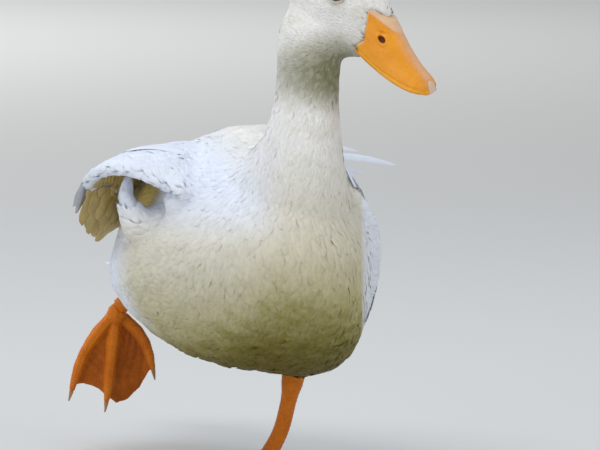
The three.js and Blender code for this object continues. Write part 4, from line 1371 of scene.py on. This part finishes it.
def foot(node, name):
    """A webbed foot: scuted toes, and thin webs that fold between them."""
    ob = remodelled(name, node, 0.8 * MM, 4, 0.3 * MM)
    points, normals = coords(ob), vertex_normals(ob)
    on_floor = node == "foot_left"
    if on_floor:
        heel = np.array([middle("leg_left").x, 0, 0])
    else:
        heel = np.array([middle("leg_right").x, 0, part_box(node)[1].z])
    away = points - heel
    reach = np.hypot(away[:, 0], away[:, 1] if on_floor else away[:, 2])
    turn = np.arctan2(away[:, 0], -away[:, 1] if on_floor else -away[:, 2])
    toe = smoothstep(thickness(ob, points, normals), 3.2 * MM, 5.2 * MM)
    a, b = read(ob.data.edges, "vertices", 2, np.int32).T
    for _ in range(2):  # evens the toes' edges out
        smooth = toe.copy()
        counts = np.ones(len(toe))
        np.add.at(smooth, a, toe[b])
        np.add.at(smooth, b, toe[a])
        np.add.at(counts, a, 1)
        np.add.at(counts, b, 1)
        toe = smooth / counts
    flat = np.abs(normals[:, 2] if on_floor else normals[:, 1])
    saw = (reach / MM / 2.8) % 1.0
    scutes = 0.30 * (saw - 0.5) * smoothstep(saw, 0, 0.15) * toe
    folds = 0.28 * np.sin(turn * 46 + 1.5 * np.sin(reach / MM * 0.12)) * (1 - toe) * flat
    ripples = 0.16 * np.sin(reach / MM * 1.1 + 4 * np.sin(turn * 7)) * (1 - toe) * flat
    push = scutes + (folds + ripples) * smoothstep(reach, 6 * MM, 22 * MM)
    keep = smoothstep(points[:, 2], 0.3 * MM, 1.2 * MM) if on_floor else 1.0
    set_coords(ob, points + normals * (push * MM * keep)[:, None])
    point_attribute(ob, "toe", toe)
    point_attribute(ob, "reach", reach / reach.max())
    return ob


TOES = ("inner", "middle", "outer", "hind")
CLAWS = [f"claw_{side}_{toe}" for side in ("left", "right") for toe in TOES]

shape_upper_bill(bill_top)
bill_bottom = lower_bill()
nail = remodelled("bill_tip", "bill_nail", 0.45 * MM, 4, 0.35 * MM)
eyeballs = [eye(LEFT), eye(RIGHT)]
lids = [eyelids(LEFT), eyelids(RIGHT)]
shanks = [leg("leg_left", "shank_left"), leg("leg_right", "shank_right")]
webbed = [foot("foot_left", "webbed_foot_left"), foot("foot_right", "webbed_foot_right")]
claws = [remodelled("nail_" + name[5:], name, 0.4 * MM, 2, 0.3 * MM) for name in CLAWS]


# ---------------------------------------------------------------- materials


class Nodes:
    """Short ways of adding nodes to one material."""

    def __init__(self, name):
        self.material = bpy.data.materials.new(name)
        self.material.use_nodes = True
        self.tree = self.material.node_tree
        self.shader = self.tree.nodes["Principled BSDF"]

    def add(self, kind, **settings):
        node = self.tree.nodes.new(kind)
        for key, value in settings.items():
            setattr(node, key, value)
        return node

    def link(self, source, socket):
        self.tree.links.new(source, socket)

    def put(self, socket, value):
        if isinstance(value, bpy.types.NodeSocket):
            self.link(value, socket)
        else:
            socket.default_value = value

    def object_place(self):
        return self.add("ShaderNodeTexCoord").outputs["Object"]

    def attribute(self, name):
        return self.add("ShaderNodeAttribute", attribute_name=name).outputs["Fac"]

    def noise(self, scale, detail=2.0, roughness=0.5, vector=None, distortion=0.0):
        node = self.add("ShaderNodeTexNoise")
        node.inputs["Scale"].default_value = scale
        node.inputs["Detail"].default_value = detail
        node.inputs["Roughness"].default_value = roughness
        node.inputs["Distortion"].default_value = distortion
        self.link(vector or self.object_place(), node.inputs["Vector"])
        return node.outputs["Fac"]

    def ramp(self, value, low, high, start=0.0, end=1.0):
        """Smoothly from start to end as the value goes from low to high."""
        node = self.add("ShaderNodeMapRange", interpolation_type="SMOOTHSTEP")
        self.put(node.inputs["Value"], value)
        for key, number in zip(("From Min", "From Max", "To Min", "To Max"), (low, high, start, end)):
            node.inputs[key].default_value = number
        return node.outputs["Result"]

    def math(self, kind, a, b=0.0):
        node = self.add("ShaderNodeMath", operation=kind)
        self.put(node.inputs[0], a)
        self.put(node.inputs[1], b)
        return node.outputs[0]

    def times(self, a, b):
        return self.math("MULTIPLY", a, b)

    def plus(self, a, b):
        return self.math("ADD", a, b)

    def blend(self, amount, a, b, kind="MIX"):
        node = self.add("ShaderNodeMix", data_type="RGBA", blend_type=kind)
        self.put(node.inputs["Factor"], amount)
        self.put(node.inputs["A"], a if isinstance(a, bpy.types.NodeSocket) else (*a, 1))
        self.put(node.inputs["B"], b if isinstance(b, bpy.types.NodeSocket) else (*b, 1))
        return node.outputs["Result"]

    def ball(self, centre, radii, edge):
        """1 inside an ellipsoid, fading to 0 over its edge, as a share of its size."""
        place = self.add("ShaderNodeMapping", vector_type="POINT")
        self.link(self.object_place(), place.inputs["Vector"])
        scale = [1 / r for r in radii]
        place.inputs["Scale"].default_value = scale
        place.inputs["Location"].default_value = [-c * k for c, k in zip(centre, scale)]
        length = self.add("ShaderNodeVectorMath", operation="LENGTH")
        self.link(place.outputs[0], length.inputs[0])
        return self.ramp(length.outputs["Value"], 1 - edge, 1 + edge, 1.0, 0.0)

    def axis(self, name):
        node = self.add("ShaderNodeSeparateXYZ")
        self.link(self.object_place(), node.inputs[0])
        return node.outputs[name]

    def mottled(self, scale, a, b, detail=2, roughness=0.6):
        """Two colours in soft spots."""
        return self.blend(self.ramp(self.noise(scale, detail, roughness), 0.3, 0.7, 0, 1), a, b)

    def finish(self, colour, roughness, **more):
        """Sets the shader's colour, roughness and more of its sockets, with _ for each space."""
        self.put(self.shader.inputs["Base Color"], colour)
        self.shader.inputs["Roughness"].default_value = roughness
        for key, value in more.items():
            self.shader.inputs[key.replace("_", " ")].default_value = value

    def bump(self, height, distance, strength=1.0):
        node = self.add("ShaderNodeBump")
        node.inputs["Strength"].default_value = strength
        node.inputs["Distance"].default_value = distance
        self.link(height, node.inputs["Height"])
        self.link(node.outputs[0], self.shader.inputs["Normal"])


def bill_material():
    """Waxy orange, with a pink painted highlight along the top, pale at the feathers and brighter at the
    lip.
    """
    n = Nodes("bill")
    soft = n.noise(90, 3, 0.6)
    fine = n.noise(420, 2, 0.5)
    colour = n.blend(n.ramp(soft, 0.3, 0.7, 0, 1), (0.84, 0.315, 0.007), (0.90, 0.365, 0.013))
    # A pink painted highlight along the top of the bill.
    colour = n.blend(n.times(n.attribute("culmen_highlight"), 0.85), colour, (0.82, 0.50, 0.32))
    colour = n.blend(n.times(n.attribute("lip"), 0.75), colour, (0.86, 0.41, 0.01))
    colour = n.blend(n.times(n.attribute("rim"), 0.8), colour, (0.78, 0.56, 0.40))
    colour = n.blend(n.ramp(fine, 0.56, 0.74, 0, 0.25), colour, (0.50, 0.17, 0.012))
    # Painted shade: nearly black inside the nostril.
    colour = n.blend(n.attribute("nostril"), colour, (0.11, 0.008, 0.002))
    # Painted shade: dark brown at each corner of the mouth.
    for side in (LEFT, RIGHT):
        corner = n.ball(at_head(GAPE[0], GAPE[1] * side, GAPE[2]), (0.0026, 0.0026, 0.0020), 0.4)
        colour = n.blend(corner, colour, (0.05, 0.028, 0.010))
    n.finish(
        colour, 0.42, Specular_IOR_Level=0.45, Subsurface_Weight=0.15,
        Subsurface_Radius=(0.003, 0.0012, 0.0005), Subsurface_Scale=1.0
    )
    n.bump(n.plus(n.times(soft, 0.6), n.times(fine, 0.4)), 0.0006, 0.5)
    return n.material


def nail_material():
    n = Nodes("bill_nail")
    n.finish(n.mottled(260, (0.74, 0.52, 0.38), (0.80, 0.60, 0.46), 3), 0.32)
    n.bump(n.noise(500, 2, 0.5), 0.0003, 0.4)
    return n.material


def eye_material():
    n = Nodes("eye")
    colour = n.blend(n.attribute("iris"), (0.18, 0.10, 0.06), (0.055, 0.032, 0.022))
    colour = n.blend(n.attribute("pupil"), colour, (0.004, 0.004, 0.005))
    n.finish(colour, 0.06, Coat_Weight=1.0, Coat_Roughness=0.03)
    return n.material


def lid_material():
    n = Nodes("eyelids")
    n.finish(n.mottled(600, (0.66, 0.59, 0.48), (0.74, 0.68, 0.58)), 0.55)
    n.bump(n.noise(900, 2, 0.5), 0.0002, 0.5)
    return n.material


def foot_material():
    """Orange scaled skin, darker in the folds between scales, with the webs redder and painted darker as
    shade.
    """
    n = Nodes("leg_skin")
    soft = n.noise(60, 3, 0.6)
    patches = n.ramp(soft, 0.3, 0.7, 0, 1)
    scales = n.add("ShaderNodeTexVoronoi", feature="DISTANCE_TO_EDGE")
    scales.inputs["Scale"].default_value = 700
    n.link(n.object_place(), scales.inputs["Vector"])
    gaps = n.ramp(scales.outputs["Distance"], 0.02, 0.22, 0, 1)
    # Painted shade: the webs darker than the toes, darkest toward the heel.
    web = n.blend(patches, (0.56, 0.135, 0.001), (0.42, 0.090, 0.001))
    web = n.blend(n.ramp(n.attribute("reach"), 0.5, 0.1, 0, 0.5), web, (0.17, 0.026, 0.001))
    toe = n.blend(patches, (0.82, 0.235, 0.010), (0.70, 0.175, 0.004))
    colour = n.blend(n.attribute("toe"), web, toe)
    colour = n.blend(1.0, colour, n.ramp(gaps, 0, 1, 0.72, 1.0), "MULTIPLY")
    n.finish(
        colour, 0.5, Specular_IOR_Level=0.25, Subsurface_Weight=0.1,
        Subsurface_Radius=(0.003, 0.001, 0.0004), Subsurface_Scale=1.0
    )
    n.bump(n.plus(gaps, n.times(soft, 0.6)), 0.0003, 0.6)
    return n.material


def claw_material():
    n = Nodes("claws")
    n.finish(n.mottled(300, (0.46, 0.24, 0.10), (0.34, 0.16, 0.07)), 0.38)
    n.bump(n.noise(700, 2, 0.5), 0.0002, 0.4)
    return n.material


def wear(material, *pieces):
    """Gives the pieces one material and no other."""
    for piece in pieces:
        piece.data.materials.clear()
        piece.data.materials.append(material)


WHITE = (0.86, 0.85, 0.83)
# A blue-white that stands for painted skylight on the plumage.
COOL_SKYLIGHT = (0.78, 0.83, 0.94)
CREAM = (0.57, 0.52, 0.34)
# Partly soiling, partly a painted green reflection.
OLIVE_SOIL_AND_REFLECTION = (0.34, 0.30, 0.025)
# Dark brown painted shade under the belly.
BELLY_SHADE = (0.118, 0.092, 0.001)
SOIL_AND_SHADE_ENDS = 0.05  # how far back the breast's soiling and painted shade run
BARB = 0.00085  # from one barb to the next


def barbs(n, strength):
    """Fine barbs that slope back from each feather's shaft."""
    place = n.add("ShaderNodeSeparateXYZ")
    n.link(n.add("ShaderNodeUVMap", uv_map="Barbs").outputs[0], place.inputs[0])
    aside = n.math("ABSOLUTE", place.outputs["X"])
    line = n.math("SUBTRACT", place.outputs["Y"], n.times(aside, 1.3))
    ridge = n.math("SINE", n.times(line, TURN / BARB))
    shaft = n.ramp(aside, 0.0004, 0.0011, 1.0, 0.0)
    n.bump(n.plus(n.times(ridge, 0.5), n.times(shaft, 1.6)), 0.00018, strength)


def underwing_material():
    """The lining of the wing, golden brown as painted shade and a painted glow of light through its
    feathers.
    """
    n = Nodes("underwing")
    soft = n.noise(48, 3, 0.6)
    # Golden brown as painted shade under the lifted wing and a painted glow of light through its feathers.
    colour = n.blend(n.ramp(soft, 0.35, 0.68, 0, 1), (0.72, 0.56, 0.24), (0.55, 0.40, 0.14))
    colour = n.blend(n.ramp(n.attribute("tone"), -2.5, 2.5, 0, 0.5), colour, (0.66, 0.52, 0.25))
    n.finish(colour, 0.7, Specular_IOR_Level=0.2)
    barbs(n, 0.3)
    return n.material


def soil_and_shade(n, colour, soft):
    """Cream, olive and a dark brown painted shade in turn down the front and belly; cool white painted
    skylight elsewhere.
    """
    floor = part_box("trunk")[0].z
    x, y, z = (n.axis(name) for name in "XYZ")
    height = n.plus(z, n.times(n.math("SUBTRACT", soft, 0.5), 0.05))
    on_right = n.ramp(x, -0.03, -0.09, 0, 0.032)
    aside = n.plus(n.times(x, ASIDE[0]), n.times(y, ASIDE[1]))
    past_fold = n.ramp(aside, SIDE_FOLD - 0.001, SIDE_FOLD + 0.005, 0, 0.075)
    height = n.plus(height, n.plus(on_right, past_fold))
    reach = n.ramp(y, SOIL_AND_SHADE_ENDS - 0.06, SOIL_AND_SHADE_ENDS + 0.02, 1, 0)
    reach = n.math("MAXIMUM", reach, n.ramp(z, floor + 0.075, floor + 0.03, 0, 1))
    cream = n.ramp(height, floor + 0.21, floor + 0.07, 0, 0.95)
    colour = n.blend(n.times(cream, reach), colour, CREAM)
    # Olive lower down: partly soiling, partly a painted green reflection from below.
    below = n.ramp(height, floor + 0.13, floor + 0.02, 0, 1)
    dirt_and_reflection = n.times(below, n.ramp(n.noise(260, 2, 0.55), 0.34, 0.62, 0.6, 1.0))
    colour = n.blend(n.times(dirt_and_reflection, reach), colour, OLIVE_SOIL_AND_REFLECTION)
    # Painted shade: nearly black brown under the belly.
    under = n.ramp(height, floor + 0.095, floor + 0.012, 0, 0.96)
    colour = n.blend(n.times(under, reach), colour, BELLY_SHADE)
    # Painted skylight: a cool blue-white on the upper right side, on the parts without soiling and past
    # the fold.
    shoulder = n.times(n.ramp(x, -0.025, -0.065, 0, 1), n.ramp(z, floor + 0.115, floor + 0.160, 0, 1))
    below_head = n.ramp(z, floor + 0.22, floor + 0.19, 0, 10)
    clean_and_skylit = n.math("MAXIMUM", n.math("SUBTRACT", 1.0, reach), n.times(past_fold, below_head))
    colour = n.blend(n.math("MAXIMUM", clean_and_skylit, shoulder), colour, COOL_SKYLIGHT)
    # Painted shade: a warm golden brown in the hollow under the lifted wing.
    hollow = n.ball(tuft_tip + np.array([26, 56, -18]) * MM, (0.034, 0.050, 0.022), 0.3)
    return n.blend(hollow, colour, (0.62, 0.47, 0.16))


def plumage_material(name, soiled_and_shaded=True):
    """White plumage with painted shade under the cheek and below, and soiling below, the same on skin and
    feathers.
    """
    n = Nodes(name)
    soft = n.noise(55, 3, 0.6)
    if soiled_and_shaded:
        colour = soil_and_shade(n, n.blend(n.ramp(soft, 0.35, 0.75, 0, 0.35), WHITE, CREAM), soft)
    else:
        # Painted skylight: a cool blue-white on the wings, quills and tail.
        colour = n.blend(n.ramp(soft, 0.35, 0.75, 0, 0.1), COOL_SKYLIGHT, CREAM)
    # Painted shade: a mottled grey-olive under the right cheek and chin.
    cheek = n.ball(at_head(27, -12, -54.5), (0.036, 0.036, 0.026), 0.55)
    mottled_cheek_shade = n.times(cheek, n.ramp(n.noise(170, 2, 0.6), 0.3, 0.6, 0.8, 1.0))
    colour = n.blend(n.times(mottled_cheek_shade, 0.95), colour, (0.17, 0.17, 0.075))
    colour = n.blend(1.0, colour, n.ramp(n.attribute("tone"), -2.5, 2.5, 0.93, 1.03), "MULTIPLY")
    # Painted shade: dark brown in the feathers at each corner of the mouth.
    for side in (LEFT, RIGHT):
        place = at_head(GAPE[0] + 0.6, GAPE[1] * side * 1.03, GAPE[2] + 0.3)
        corner = n.ball(place, (0.0034, 0.0030, 0.0018), 0.5)
        colour = n.blend(corner, colour, (0.07, 0.045, 0.020))
    n.finish(colour, 0.62, Specular_IOR_Level=0.2, Sheen_Weight=0.03, Sheen_Roughness=0.5)
    barbs(n, 0.22)
    return n.material


wing_coat = coats["wing_down"]
wear(plumage_material("plumage"), skin, *(coat for coat in coats.values() if coat is not wing_coat))
wear(plumage_material("clean_skylit_plumage", soiled_and_shaded=False), wing_coat, *quills)
wear(underwing_material(), lining, lining_down)
wear(bill_material(), bill_top, bill_bottom)
wear(nail_material(), nail)
wear(eye_material(), *eyeballs)
wear(lid_material(), *lids)
wear(foot_material(), *shanks, *webbed)
wear(claw_material(), *claws)


# ---------------------------------------------------------------- floor, light and camera

CAMERA_TURN = math.radians(-22)
CAMERA_RISE = math.radians(5)
CAMERA_DISTANCE = 3.5
AIM = Vector((0.031, -0.0106, 0.199))
LENS = 262.5


def make_camera():
    level = math.cos(CAMERA_RISE)
    back = Vector(
        (math.sin(CAMERA_TURN) * level, -math.cos(CAMERA_TURN) * level, math.sin(CAMERA_RISE))
    )
    camera = bpy.data.objects.new("camera", bpy.data.cameras.new("camera"))
    bpy.context.scene.collection.objects.link(camera)
    camera.data.lens = LENS
    camera.data.sensor_width = 36
    camera.data.clip_end = 100
    camera.location = AIM + back * CAMERA_DISTANCE
    camera.rotation_mode = "QUATERNION"
    camera.rotation_quaternion = (-back).to_track_quat("-Z", "Y")
    bpy.context.scene.camera = camera


LIGHTS = (  # name, place, what it is aimed at, size, watts, colour
    ("key", (-1.1, -0.6, 2.3), (0, 0, 0.2), (1.5, 1.2), 19, (1.0, 0.99, 0.97)),
    ("top", (0.3, 0.9, 2.5), (0, 0, 0.2), (1.8, 1.4), 15, (0.66, 0.80, 1.0)),
    ("fill", (1.3, -3.2, 1.5), (0, 0, 0.2), (2.6, 2.0), 26, (1.0, 0.985, 0.96)),
    ("side", (-3.0, -1.4, 0.9), (0, 0, 0.2), (1.6, 1.2), 15, (0.97, 0.98, 1.0)),
    ("backdrop", (-3.0, 9.0, 5.0), (-3.5, 10.0, 0), (8, 8), 700, (1.0, 1.0, 1.0)),
)


def area_light(name, place, aim, size, watts, colour):
    light = bpy.data.lights.new(name, "AREA")
    light.shape = "RECTANGLE"
    light.size, light.size_y = size
    light.energy = watts
    light.color = colour
    ob = bpy.data.objects.new(name, light)
    bpy.context.scene.collection.objects.link(ob)
    ob.location = place
    ob.rotation_mode = "QUATERNION"
    ob.rotation_quaternion = (Vector(aim) - Vector(place)).to_track_quat("-Z", "Y")


def make_studio():
    deselect()
    bpy.ops.mesh.primitive_plane_add(size=80, location=(0, 0, 0))
    floor = bpy.context.active_object
    floor.name = "floor"
    n = Nodes("floor")
    n.finish((0.70, 0.70, 0.68, 1), 0.95, Specular_IOR_Level=0.1)
    floor.data.materials.append(n.material)
    for light in LIGHTS:
        area_light(*light)
    world = bpy.data.worlds.new("studio")
    bpy.context.scene.world = world
    world.use_nodes = True
    sky = world.node_tree.nodes["Background"].inputs
    sky["Color"].default_value = (0.86, 0.89, 0.93, 1)
    sky["Strength"].default_value = 0.5
    bpy.context.scene.view_settings.view_transform = "Standard"


make_camera()
make_studio()
finish_piece(skin, "plumage", "trunk", "neck", "head", "wing_left", "wing_right", "tail")
finish_piece(bill_top, "bill", "bill_upper")
finish_piece(bill_bottom, "bill", "bill_lower")
finish_piece(nail, "bill_nail", "bill_nail")
for eyeball, lid, side in zip(eyeballs, lids, ("left", "right")):
    finish_piece(eyeball, "eyes", f"eye_{side}")
    finish_piece(lid, "leg_skin")
for shank, web, side in zip(shanks, webbed, ("left", "right")):
    finish_piece(shank, "leg_skin", f"leg_{side}")
    finish_piece(web, "leg_skin", f"foot_{side}")
for claw, node in zip(claws, CLAWS):
    finish_piece(claw, "claws", node)
finish_piece(left_primaries, "plumage", "primaries_left")
finish_piece(right_primaries, "plumage", "primaries_right")
for coat in (*coats.values(), lining, lining_down, *quills):
    if coat not in (left_primaries, right_primaries):
        finish_piece(coat, "plumage")
